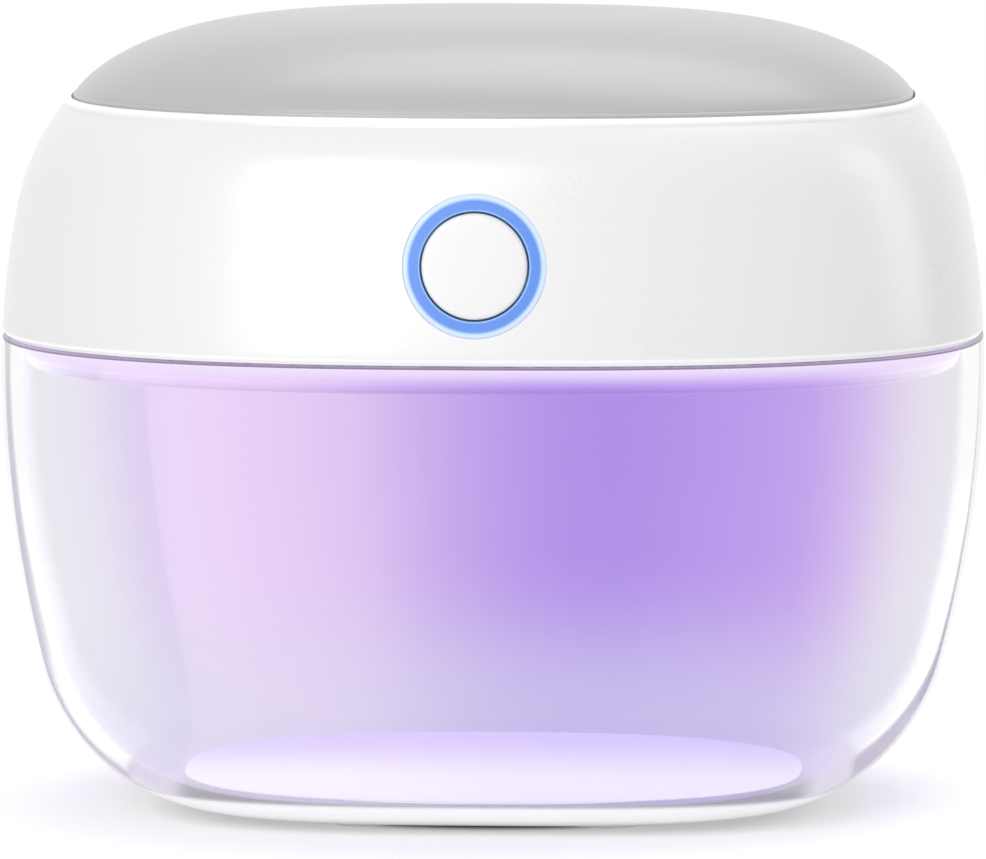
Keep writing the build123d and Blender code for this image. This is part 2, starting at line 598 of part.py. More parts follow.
def make_ring_leds():
    lamps = []
    for step in range(RING_LEDS):
        angle = 2 * pi * (step + 0.5) / RING_LEDS
        x, z = RING_LED_R * cos(angle), BUTTON_Z + RING_LED_R * sin(angle)
        lamps.append(Pos(x, BUTTON_BOARD_Y - 0.3, z) * Box(1.2, 0.6, 1.2))
    return joined(lamps)


# ---- Fasteners ----------------------------------------------------------------------------------
def make_liner_screws():
    """Four screws, heads in the cups of the liner, that hold it to the posts of the shell."""
    one = Rot(180, 0, 0) * screw(CORNER_SHANK_R, CORNER_HEAD_R, CORNER_HEAD, 8.0)
    return joined([Pos(x, y, CUP_HEAD_Z) * one for x, y in corner_places()])


def make_board_screws():
    """Six screws that hold the main board and the light board to the posts of the liner."""
    tall = screw(SCREW_SHANK_R, SCREW_HEAD_R, SCREW_HEAD, 5.0)
    short = screw(SCREW_SHANK_R, SCREW_HEAD_R, SCREW_HEAD, 3.0)
    main = [Pos(x, y, MAIN_Z + BOARD_THICK) * tall for x, y in MAIN_POSTS]
    return joined(main + [Pos(x, 0, UV_BOARD_Z + BOARD_THICK) * short for x in (-UV_SCREW_X, UV_SCREW_X)])


def make_button_screws():
    one = Rot(-90, 0, 0) * screw(SCREW_SHANK_R, SCREW_HEAD_R, SCREW_HEAD, 5.5)
    back = BUTTON_BOARD_Y + BOARD_THICK
    return joined([Pos(x, back, BUTTON_Z) * one for x in (-BUTTON_BOSS_X, BUTTON_BOSS_X)])


NODES = {
    "bowl": make_bowl,
    "floor_mat": make_floor_mat,
    "feet": make_feet,
    "interlock_magnet": lambda: magnet_slug(MAGNET_R),
    "hinge_pin": make_hinge_pin,
    "lid_shell": make_lid_shell,
    "dome_cap": make_dome_cap,
    "lid_liner": make_lid_liner,
    "lid_seal": make_lid_seal,
    "uv_lenses": make_uv_lenses,
    "uv_board": make_uv_board,
    "uv_leds": make_uv_leds,
    "main_board": make_main_board,
    "board_parts": make_board_parts,
    "hall_sensor": make_hall_sensor,
    "usb_socket": make_usb_socket,
    "battery": make_battery,
    "battery_tape": make_battery_tape,
    "battery_lead": make_battery_lead,
    "uv_lead": make_uv_lead,
    "button_ribbon": make_button_ribbon,
    "button_ring": make_button_ring,
    "button_cap": make_button_cap,
    "button_board": make_button_board,
    "tact_switch": make_tact_switch,
    "switch_plunger": make_switch_plunger,
    "ring_leds": make_ring_leds,
    "liner_screws": make_liner_screws,
    "board_screws": make_board_screws,
    "button_screws": make_button_screws,
}

os.makedirs("parts", exist_ok=True)
for name, make in NODES.items():
    export_step(FRAME_SHIFT * make(), f"parts/{name}.step")
    print("wrote", name)
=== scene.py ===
"""Looks of an ultraviolet sterilizer case for soothers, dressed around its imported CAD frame.

Every length is in metres, in the frame's own axes: +X across the case, -Y towards the button, +Z up.
The case walls follow one outline, a superellipse whose half widths change with height by arcs, so the
bowl, the lid, the liner, the light ring and the button are all worked out from the same few sizes.
"""

from __future__ import annotations

import json
import logging
import math
from contextlib import contextmanager
from dataclasses import dataclass, field
from enum import Enum
from functools import partial, reduce
from typing import Callable, Iterable, Iterator, Optional, Sequence

import bmesh
import bpy
from mathutils import Matrix, Vector

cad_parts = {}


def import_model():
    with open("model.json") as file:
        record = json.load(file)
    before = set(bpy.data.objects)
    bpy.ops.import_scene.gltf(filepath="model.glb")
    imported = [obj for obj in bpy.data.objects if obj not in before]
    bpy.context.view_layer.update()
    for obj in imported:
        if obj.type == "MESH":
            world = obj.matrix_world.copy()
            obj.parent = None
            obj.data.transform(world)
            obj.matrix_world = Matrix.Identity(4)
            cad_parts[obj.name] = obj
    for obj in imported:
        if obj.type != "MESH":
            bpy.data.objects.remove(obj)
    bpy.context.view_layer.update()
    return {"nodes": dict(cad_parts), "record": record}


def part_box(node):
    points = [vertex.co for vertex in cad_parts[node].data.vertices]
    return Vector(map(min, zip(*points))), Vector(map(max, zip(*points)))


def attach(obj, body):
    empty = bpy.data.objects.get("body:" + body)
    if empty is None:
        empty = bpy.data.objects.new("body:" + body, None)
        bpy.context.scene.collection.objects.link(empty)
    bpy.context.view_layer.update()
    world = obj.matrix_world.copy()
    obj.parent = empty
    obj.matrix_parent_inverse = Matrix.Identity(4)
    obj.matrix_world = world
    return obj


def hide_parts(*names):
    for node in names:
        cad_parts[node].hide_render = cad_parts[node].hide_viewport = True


log = logging.getLogger("sterilizer_case")

MM = 0.001
SEAM = 0.001 * MM  # points closer than this are one point
RING_POINTS = 224  # points round a superellipse
SHARP = math.radians(32)  # edges that turn by more than this stay sharp
WIDEST_Z = 46.9 * MM  # height where the case is widest
BOWL_SWEEP = 118 * MM  # radius of the long arcs up the bowl's left and right sides
BLACK, WHITE = (0.0, 0.0, 0.0, 1.0), (1.0, 1.0, 1.0, 1.0)

Ring = list[Vector]
Colour = tuple[float, float, float]


class Body(str, Enum):
    """The CAD bodies that pieces ride on."""

    BOWL = "bowl"
    LID = "lid"
    BUTTON = "button"
    PLUNGER = "plunger"


# ---- Outline of the case --------------------------------------------------------------------------
@dataclass(frozen=True)
class Wall:
    """Upright outline of the case wall: a long arc from the widest height, then a corner arc."""

    half: float
    sweep: float
    corner: float
    end_z: float
    widest_z: float = WIDEST_Z

    def half_at(self, z: float, inset: float = 0.0) -> float:
        """Gives the half width at a height.

        Args:
            z: Height above the ground.
            inset: How far the wall is moved inwards.

        Returns:
            Half the width of the moved wall at that height.
        """
        side = 1 if self.end_z > self.widest_z else -1
        corner_z = self.end_z - side * self.corner
        sweep_x = self.half - self.sweep
        reach, drop = self.sweep - self.corner, corner_z - self.widest_z
        corner_x = sweep_x + math.sqrt(reach**2 - drop**2)
        sweep, corner = self.sweep - inset, self.corner - inset
        if abs(z - self.widest_z) <= abs(sweep * drop / reach):
            return sweep_x + math.sqrt(sweep**2 - (z - self.widest_z) ** 2)
        return corner_x + math.sqrt(max(corner**2 - (z - corner_z) ** 2, 0.0))


@dataclass(frozen=True)
class Outline:
    """Superellipse plan of the case, squarer towards the base, with one wall each way."""

    across: Wall
    along: Wall
    centre_y: float
    power: float = 2.5
    base_power: float = 3.4
    base_z: float = 0.5 * MM

    def power_at(self, z: float) -> float:
        """Gives the plan's power, the same above the widest height and rising towards the base.

        Args:
            z: Height above the ground.

        Returns:
            The superellipse's power at that height.
        """
        widest = self.across.widest_z
        below = max(widest - z, 0.0) / (widest - self.base_z)
        return self.power + (self.base_power - self.power) * below**2

    def oval(self, half_x: float, half_y: float, z: float, power: Optional[float] = None) -> Ring:
        """Gives a level superellipse.

        Args:
            half_x: Half its width.
            half_y: Half its depth.
            z: Its height.
            power: Its power, where it isn't the plan's own.

        Returns:
            Its points, anticlockwise from +X.
        """
        points, power = [], power or self.power
        for step in range(RING_POINTS):
            angle = 2 * math.pi * step / RING_POINTS
            c, s = math.cos(angle), math.sin(angle)
            x = half_x * math.copysign(abs(c) ** (2 / power), c)
            y = half_y * math.copysign(abs(s) ** (2 / power), s)
            points.append(Vector((x, y + self.centre_y, z)))
        return points

    def level(self, z: float, inset: float = 0.0, share: float = 1.0) -> Ring:
        """Gives the wall's superellipse at a height, moved inwards by inset and scaled by share."""
        return self.oval(self.across.half_at(z, inset) * share, self.along.half_at(z, inset) * share, z,
                         self.power_at(z))

    def front_y(self, x: float, z: float, inset: float = 0.0) -> float:
        """Gives the depth of the front wall.

        Args:
            x: Place across the case.
            z: Height above the ground.
            inset: How far the wall is moved inwards.

        Returns:
            The front wall's y at that place.
        """
        half_x, half_y = self.across.half_at(z, inset), self.along.half_at(z, inset)
        return self.centre_y - half_y * (1 - abs(x / half_x) ** self.power) ** (1 / self.power)


# ---- Mesh helpers ---------------------------------------------------------------------------------
def new_piece(name: str, mesh: bpy.types.Mesh) -> bpy.types.Object:
    """Puts a mesh in the scene as an object at the origin.

    Args:
        name: The object's name.
        mesh: Its mesh.

    Returns:
        The new object.
    """
    piece = bpy.data.objects.new(name, mesh)
    bpy.context.scene.collection.objects.link(piece)
    return piece


def smooth(mesh: bpy.types.Mesh, angle: float = SHARP) -> None:
    """Shades a mesh smooth, apart from the edges that turn by more than angle."""
    mesh.polygons.foreach_set("use_smooth", [True] * len(mesh.polygons))
    mesh.set_sharp_from_angle(angle=angle)


@contextmanager
def editing(mesh: bpy.types.Mesh) -> Iterator[bmesh.types.BMesh]:
    """Opens a mesh for changes and writes them back.

    Args:
        mesh: The mesh.

    Yields:
        Its editable form.
    """
    shape = bmesh.new()
    shape.from_mesh(mesh)
    yield shape
    shape.to_mesh(mesh)
    shape.free()


def between(low: float, high: float, count: int) -> list[float]:
    """Gives the ends and the inner marks of a stretch that is divided into count equal parts."""
    return [low + (high - low) * step / count for step in range(count + 1)]


def quarter(count: int, first: int = 0) -> list[tuple[float, float]]:
    """Gives (1 - cos, sin) of the evenly spaced angles of a quarter turn, from the first one on."""
    angles = between(0.0, math.pi / 2, count)[first:]
    return [(1 - math.cos(angle), math.sin(angle)) for angle in angles]


def loft(name: str, rings: Sequence[Ring], closed: bool = False, start_cap: bool = False,
         end_cap: bool = False) -> bpy.types.Object:
    """Makes a skin over a row of rings with equal numbers of points.

    Args:
        name: The new object's name.
        rings: The rings, in order.
        closed: Whether the last ring joins the first.
        start_cap: Whether the first ring is filled by a fan.
        end_cap: Whether the last ring is filled by a fan.

    Returns:
        The new object.
    """
    shape = bmesh.new()
    rows = [[shape.verts.new(point) for point in ring] for ring in rings]
    count = len(rings[0])
    spans = len(rows) if closed else len(rows) - 1
    for span in range(spans):
        low, high = rows[span], rows[(span + 1) % len(rows)]
        for step in range(count):
            after = (step + 1) % count
            shape.faces.new((low[step], low[after], high[after], high[step]))
    for wanted, row in ((start_cap, rows[0]), (end_cap, rows[-1])):
        if wanted:
            middle = shape.verts.new(sum((v.co for v in row), Vector()) / count)
            for step in range(count):
                shape.faces.new((row[step], row[(step + 1) % count], middle))
    bmesh.ops.recalc_face_normals(shape, faces=shape.faces)
    mesh = bpy.data.meshes.new(name)
    shape.to_mesh(mesh)
    shape.free()
    smooth(mesh)
    return new_piece(name, mesh)


def tube(name: str, start: Vector, end: Vector, radius: float, sides: int = 96) -> bpy.types.Object:
    """Makes a closed cylinder between two points.

    Args:
        name: The new object's name.
        start: Middle of one end.
        end: Middle of the other end.
        radius: Its radius.
        sides: Faces round it.

    Returns:
        The new object.
    """
    axis = (end - start).normalized()
    across = axis.orthogonal().normalized()
    up = axis.cross(across)
    rings = []
    for place in (start, end):
        turns = (2 * math.pi * step / sides for step in range(sides))
        rings.append([place + radius * (math.cos(t) * across + math.sin(t) * up) for t in turns])
    return loft(name, rings, start_cap=True, end_cap=True)


def prism_x(name: str, outline: Sequence[tuple[float, float]], left: float,
            right: float) -> bpy.types.Object:
    """Makes a prism along X from an outline of (y, z) points."""
    rings = [[Vector((x, y, z)) for y, z in outline] for x in (left, right)]
    return loft(name, rings, start_cap=True, end_cap=True)


def rounded_slot(name: str, width: float, height: float, z: float, front: float,
                 back: float) -> bpy.types.Object:
    """Makes a closed bar along Y whose section is a rectangle between two half circles.

    Args:
        name: The new object's name.
        width: Width of the section.
        height: Height of the section.
        z: Height of its middle.
        front: Where the bar starts.
        back: Where the bar ends.

    Returns:
        The new object.
    """
    radius, straight = height / 2, (width - height) / 2
    section = []
    for side in (1, -1):
        for angle in between(side * math.pi / 2, side * math.pi / 2 - math.pi, 24):
            section.append((side * straight + radius * math.cos(angle), radius * math.sin(angle)))
    rings = [[Vector((x, y, z + up)) for x, up in section] for y in (front, back)]
    return loft(name, rings, start_cap=True, end_cap=True)


def teardrop(eye: tuple[float, float], radius: float, tip: tuple[float, float], tip_radius: float,
             steps: int = 40) -> list[tuple[float, float]]:
    """Gives the outline round two circles and their outer tangents.

    Args:
        eye: Centre of the large circle.
        radius: Its radius.
        tip: Centre of the small circle.
        tip_radius: Its radius.
        steps: Points on each arc.

    Returns:
        The outline's points.
    """
    across, up = tip[0] - eye[0], tip[1] - eye[1]
    heading = math.atan2(up, across)
    lean = math.acos((radius - tip_radius) / math.hypot(across, up))
    arcs = ((tip, tip_radius, heading - lean, heading + lean),
            (eye, radius, heading + lean, heading - lean + 2 * math.pi))
    return [(middle[0] + size * math.cos(angle), middle[1] + size * math.sin(angle))
            for middle, size, start, end in arcs for angle in between(start, end, steps)]


def combine(piece: bpy.types.Object, others: Iterable[bpy.types.Object], operation: str) -> None:
    """Adds or cuts other closed meshes and removes them.

    Args:
        piece: The object that is changed.
        others: The objects that are used up.
        operation: UNION or DIFFERENCE.
    """
    for other in others:
        tool = piece.modifiers.new("shape", "BOOLEAN")
        tool.operation, tool.solver, tool.object = operation, "EXACT", other
        graph = bpy.context.evaluated_depsgraph_get()
        mesh = bpy.data.meshes.new_from_object(piece.evaluated_get(graph))
        piece.modifiers.clear()
        old, piece.data = piece.data, mesh
        bpy.data.meshes.remove(old)
        bpy.data.objects.remove(other)
    smooth(piece.data)


def join(piece: bpy.types.Object, others: Iterable[bpy.types.Object]) -> None:
    """Puts the meshes of other objects into piece as they are, and removes those objects.

    Args:
        piece: The object that is added to.
        others: The objects that are used up.
    """
    with editing(piece.data) as shape:
        for other in others:
            shape.from_mesh(other.data)
            bpy.data.objects.remove(other)
    smooth(piece.data)


def copy_of_node(node: bpy.types.Object, name: str, angle: float = SHARP) -> bpy.types.Object:
    """Copies a CAD node's mesh, closes its seams and shades it smooth.

    Args:
        node: The CAD node's object.
        name: The new object's name.
        angle: Edges that turn by more than this stay sharp.

    Returns:
        The new object.
    """
    mesh = node.data.copy()
    mesh.materials.clear()
    with editing(mesh) as shape:
        bmesh.ops.remove_doubles(shape, verts=shape.verts, dist=SEAM)
    if mesh.has_custom_normals:
        mesh.normals_split_custom_set([(0.0, 0.0, 0.0)] * len(mesh.loops))
    smooth(mesh, angle)
    return new_piece(name, mesh)


def finish_piece(piece: bpy.types.Object, body: Body, slot: str, nodes: Sequence[str],
                 material: bpy.types.Material) -> bpy.types.Object:
    """Dresses a piece, sets what it rides on and what it stands for.

    Args:
        piece: The finished object.
        body: The CAD body that it moves with.
        slot: The record's material slot; not used.
        nodes: The CAD nodes that it stands for.
        material: Its finish.

    Returns:
        The same object.
    """
    piece.data.materials.clear()
    piece.data.materials.append(material)
    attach(piece, body.value)
    if nodes:
        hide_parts(*nodes)
    log.info("%s rides on %s, stands for %s: %d faces", piece.name, body.value, list(nodes),
             len(piece.data.polygons))
    return piece


# ---- Shader helpers -------------------------------------------------------------------------------
# Colours of the lamps' light, painted on the chamber wall as emission, from left to right, and where it has
# faded; LIGHT_TOP is a painted highlight under the lid and LIGHT_FLOOR the painted light low on the wall.
PALE_END = (0.83, 0.84, 0.85)
LIGHT_ACROSS = ((0.0, PALE_END), (0.065, (0.80, 0.755, 0.875)), (0.118, (0.66, 0.54, 0.855)),
                (0.122, (0.84, 0.69, 0.94)), (0.21, (0.80, 0.60, 0.92)), (0.32, (0.73, 0.54, 0.89)),
                (0.41, (0.55, 0.37, 0.82)), (0.52, (0.415, 0.23, 0.80)), (0.62, (0.375, 0.21, 0.78)),
                (0.72, (0.43, 0.255, 0.81)), (0.82, (0.50, 0.29, 0.83)), (0.88, (0.64, 0.475, 0.845)),
                (0.93, (0.785, 0.73, 0.845)), (1.0, PALE_END))
LIGHT_TOP = (0.86, 0.74, 0.97)
LIGHT_FLOOR = (0.68, 0.70, 0.84)


class Nodes:
    """Adds and links nodes in one node tree."""

    def __init__(self, tree: bpy.types.NodeTree) -> None:
        """Keeps the tree that the nodes go into."""
        self.tree = tree

    def feed(self, node: bpy.types.Node, inputs: dict) -> None:
        """Sets or links a node's inputs.

        Args:
            node: The node.
            inputs: Values or source sockets, by socket name or number.
        """
        for key, value in inputs.items():
            if isinstance(value, bpy.types.NodeSocket):
                self.tree.links.new(value, node.inputs[key])
            else:
                node.inputs[key].default_value = value

    def add(self, kind: str, inputs: Optional[dict] = None, **settings: object) -> bpy.types.Node:
        """Adds a node.

        Args:
            kind: The node's type.
            inputs: Values or source sockets, by socket name or number.
            settings: Properties of the node itself.

        Returns:
            The new node.
        """
        node = self.tree.nodes.new(kind)
        for key, value in settings.items():
            setattr(node, key, value)
        self.feed(node, inputs or {})
        return node

    def group(self, tree: bpy.types.NodeTree, inputs: Optional[dict] = None) -> bpy.types.NodeOutputs:
        """Places a shared node group and gives its outputs."""
        return self.add("ShaderNodeGroup", inputs, node_tree=tree).outputs

    def math(self, operation: str, first: object, second: object = 0.0,
             clamp: bool = False) -> bpy.types.NodeSocket:
        """Adds a Math node and gives its result."""
        node = self.add("ShaderNodeMath", {0: first, 1: second}, operation=operation, use_clamp=clamp)
        return node.outputs[0]

    def product(self, *values: object) -> bpy.types.NodeSocket:
        """Multiplies some values."""
        return reduce(partial(self.math, "MULTIPLY"), values)

    def most(self, *values: object) -> bpy.types.NodeSocket:
        """Gives the largest of some values."""
        return reduce(partial(self.math, "MAXIMUM"), values)

    def span(self, value: object, low: float, high: float, start: object = 0.0,
             end: float = 1.0) -> bpy.types.NodeSocket:
        """Turns a value's run from low to high into a smooth run from start to end."""
        inputs = {"Value": value, "From Min": low, "From Max": high, "To Min": start, "To Max": end}
        return self.add("ShaderNodeMapRange", inputs, interpolation_type="SMOOTHERSTEP").outputs["Result"]

    def mix(self, factor: object, first: object, second: object) -> bpy.types.NodeSocket:
        """Mixes two colours."""
        node = self.add("ShaderNodeMix", {0: factor, 6: first, 7: second}, data_type="RGBA")
        return node.outputs[2]

    def ramp(self, value: object, stops: Sequence[tuple[float, Colour]],
             interpolation: str = "B_SPLINE") -> bpy.types.NodeSocket:
        """Adds a colour ramp.

        Args:
            value: What runs from 0 to 1 along it.
            stops: Its (place, colour) stops.
            interpolation: How it runs between them.

        Returns:
            Its colour.
        """
        node = self.add("ShaderNodeValToRGB", {0: value})
        elements = node.color_ramp.elements
        while len(elements) < len(stops):
            elements.new(1.0)
        for element, (place, colour) in zip(elements, stops):
            element.position, element.color = place, (*colour, 1.0)
        node.color_ramp.interpolation = interpolation
        return node.outputs["Color"]

    def place(self) -> bpy.types.NodeSocket:
        """Gives the piece's own coordinates."""
        return self.add("ShaderNodeTexCoord").outputs["Object"]

    def axes(self) -> bpy.types.NodeOutputs:
        """Gives the piece's own coordinates as X, Y and Z."""
        return self.add("ShaderNodeSeparateXYZ", {0: self.place()}).outputs

    def bounced(self) -> bpy.types.NodeSocket:
        """Gives 1 to the rays that only carry light to other surfaces."""
        return self.add("ShaderNodeLightPath").outputs["Is Diffuse Ray"]

    def seen(self) -> bpy.types.NodeSocket:
        """Gives 1 to the rays from the camera, straight, mirrored or through a clear wall."""
        path = self.add("ShaderNodeLightPath").outputs
        return self.most(path["Is Camera Ray"], path["Is Glossy Ray"], path["Is Transmission Ray"])


class Surface(Nodes):
    """A new material and the nodes that feed its one shader."""

    def __init__(self, name: str) -> None:
        """Starts the material.

        Args:
            name: Its name.
        """
        self.material = bpy.data.materials.new(name)
        self.material.use_nodes = True
        super().__init__(self.material.node_tree)

    def set(self, inputs: dict[str, object]) -> None:
        """Sets or links the shader's own sockets by name."""
        self.feed(self.tree.nodes["Principled BSDF"], inputs)

    def gloss(self, mask: bpy.types.NodeSocket, roughness: float) -> bpy.types.NodeSocket:
        """Varies a roughness with the grain's mask, by a tenth either way."""
        return self.span(mask, 0.3, 0.7, roughness * 0.9, roughness * 1.1)

    def hide_glow(self) -> None:
        """Keeps the shader's glow from being sampled as a lamp."""
        self.material.cycles.emission_sampling = "NONE"


def new_group(name: str, inputs: dict[str, tuple[str, object]],
              outputs: dict[str, str]) -> tuple[bpy.types.NodeTree, Nodes, bpy.types.Node, bpy.types.Node]:
    """Starts a shader node group.

    Args:
        name: The group's name.
        inputs: Socket type and default value by name; a default of None is left alone.
        outputs: Socket type by name.

    Returns:
        The group, its node helper, its input node and its output node.
    """
    group = bpy.data.node_groups.new(name, "ShaderNodeTree")
    for key, (kind, value) in inputs.items():
        socket = group.interface.new_socket(key, in_out="INPUT", socket_type=kind)
        if value is not None:
            socket.default_value = value
    for key, kind in outputs.items():
        group.interface.new_socket(key, in_out="OUTPUT", socket_type=kind)
    nodes = Nodes(group)
    return group, nodes, nodes.add("NodeGroupInput"), nodes.add("NodeGroupOutput")


class Effects:
    """Shader node groups that more than one finish uses, each built once."""

    def __init__(self) -> None:
        """Builds the groups."""
        self.grain = self._grain()
        self.handling = self._handling()
        self.light = self._light()

    def _grain(self) -> bpy.types.NodeTree:
        """Builds the fine grain of moulded plastic.

        Returns:
            The group: a mask round 0.5 and a height.
        """
        group, nodes, source, sink = new_group(
            "moulded_grain", {"Scale": ("NodeSocketFloat", 900.0), "Softness": ("NodeSocketFloat", 0.5)},
            {"Mask": "NodeSocketFloat", "Height": "NodeSocketFloat"})
        place = nodes.place()
        fine = nodes.add("ShaderNodeTexNoise", {"Vector": place, "Scale": source.outputs["Scale"],
                                                "Detail": 3.0, "Roughness": source.outputs["Softness"]})
        broad = nodes.add("ShaderNodeTexNoise", {"Vector": place, "Scale": 42.0, "Detail": 2.0})
        both = nodes.math("ADD", fine.outputs["Fac"], broad.outputs["Fac"])
        nodes.feed(sink, {"Mask": nodes.product(both, 0.5), "Height": fine.outputs["Fac"]})
        return group

    def _handling(self) -> bpy.types.NodeTree:
        """Builds faint smudges and rubbed patches.

        Returns:
            The group: a mask from 0 to 1.
        """
        group, nodes, source, sink = new_group(
            "handling_marks", {"Amount": ("NodeSocketFloat", 0.5)}, {"Mask": "NodeSocketFloat"})
        patch = nodes.add("ShaderNodeTexNoise", {"Vector": nodes.place(), "Scale": 26.0, "Detail": 4.0,
                                                 "Distortion": 0.6})
        edge = nodes.span(patch.outputs["Fac"], 0.52, 0.74)
        nodes.feed(sink, {"Mask": nodes.product(edge, source.outputs["Amount"])})
        return group

    def _light(self) -> bpy.types.NodeTree:
        """Builds the colour of the lamps' light that is painted on the chamber: pink to violet across, paler
        at its ends, with a painted highlight under the lid and paler painted light low down.

        Returns:
            The group: a colour.
        """
        group, nodes, source, sink = new_group(
            "chamber_light", {"Half Width": ("NodeSocketFloat", 0.052), "Top": ("NodeSocketFloat", 0.05)},
            {"Colour": "NodeSocketColor"})
        axes = nodes.axes()
        dip = nodes.most(nodes.math("SUBTRACT", WIDEST_Z, axes["Z"]), 0.0)
        taper = nodes.math("DIVIDE", nodes.product(dip, dip), 2 * BOWL_SWEEP)
        share = nodes.math("DIVIDE", axes["X"], nodes.math("SUBTRACT", source.outputs["Half Width"], taper))
        share = nodes.math("ADD", nodes.product(share, 0.5), 0.5, clamp=True)
        colour = nodes.ramp(share, LIGHT_ACROSS)
        below = nodes.math("SUBTRACT", source.outputs["Top"], axes["Z"])
        colour = nodes.mix(nodes.span(below, 3.2 * MM, 0.2 * MM), colour, (*LIGHT_TOP, 1.0))
        low = nodes.span(axes["Z"], 24 * MM, 2 * MM)
        nodes.feed(sink, {"Colour": nodes.mix(nodes.product(low, 0.5), colour, (*LIGHT_FLOOR, 1.0))})
        return group


@dataclass(frozen=True)
class Finish:
    """A finish with a grain, a slight change of colour and a slight change of gloss."""

    name: str
    colour: Colour
    roughness: float
    metallic: float = 0.0
    coat: float = 0.0
    coat_roughness: float = 0.05
    grain: float = 900.0  # scale of the grain
    depth: float = 0.02  # depth of the grain in millimetres
    shade: float = 0.03  # change of colour with the grain
    rubbed: float = 0.06  # how much rougher the handled patches are
    # Emission: a lamp's own light, or painted light on a part that is no lamp.
    glow: Optional[Colour] = None
    glow_strength: float = 0.0
    painted_light_rear: Optional[Colour] = None  # colour of the glow at the rear
    painted_light_run: tuple[float, float] = (-24 * MM, 26 * MM)  # depths between which it changes
    specular: float = 0.5
    alpha: float = 1.0
    painted_highlights: tuple[tuple[float, float, float], ...] = ()  # (none, full, amount) by millimetres of height
    painted_highlight_rear: float = 1.0  # depth behind which nothing is bright

    def build(self, effects: Effects) -> bpy.types.Material:
        """Makes the material.

        Args:
            effects: The shared node groups.

        Returns:
            The new material.
        """
        surface = Surface(self.name)
        grain = surface.group(effects.grain, {"Scale": self.grain})
        marks = surface.group(effects.handling, {"Amount": self.rubbed})
        dark, light = ((*(min(channel * share, 1.0) for channel in self.colour), 1.0)
                       for share in (1 - self.shade, 1 + self.shade))
        bump = surface.add("ShaderNodeBump", {"Strength": 0.35, "Distance": self.depth * MM,
                                              "Height": grain["Height"]})
        surface.set({
            "Base Color": surface.mix(grain["Mask"], dark, light),
            "Roughness": surface.math("ADD", surface.gloss(grain["Mask"], self.roughness), marks["Mask"],
                                      clamp=True),
            "Normal": bump.outputs["Normal"], "Metallic": self.metallic, "Alpha": self.alpha,
            "Coat Weight": self.coat, "Coat Roughness": self.coat_roughness,
            "Specular IOR Level": self.specular})
        if self.painted_highlights:
            surface.set({"Emission Color": self.painted_highlight(surface), "Emission Strength": 1.0})
        if self.glow:
            surface.set({"Emission Color": (*self.glow, 1.0), "Emission Strength": self.glow_strength})
        if self.painted_light_rear:
            surface.set({"Emission Color": self.painted_depth_light(surface)})
            surface.hide_glow()
        return surface.material

    def painted_highlight(self, surface: Surface) -> bpy.types.NodeSocket:
        """Adds painted highlights, bands of emission at given heights, to the edges of a white part.

        Args:
            surface: The material's nodes.

        Returns:
            The light's colour.
        """
        axes, share = surface.axes(), 0.0
        for none, full, amount in self.painted_highlights:
            share = surface.most(share, surface.span(axes["Z"], none * MM, full * MM, 0.0, amount))
        ahead = surface.span(axes["Y"], self.painted_highlight_rear + 0.5 * MM, self.painted_highlight_rear + 0.1 * MM)
        return surface.mix(surface.product(share, ahead), BLACK, WHITE)

    def painted_depth_light(self, surface: Surface) -> bpy.types.NodeSocket:
        """Adds painted light that changes from front to rear and lights nothing else.

        Args:
            surface: The material's nodes.

        Returns:
            The glow's colour.
        """
        depth = surface.span(surface.axes()["Y"], *self.painted_light_run)
        colour = surface.mix(depth, (*self.glow, 1.0), (*self.painted_light_rear, 1.0))
        return surface.mix(surface.bounced(), colour, BLACK)


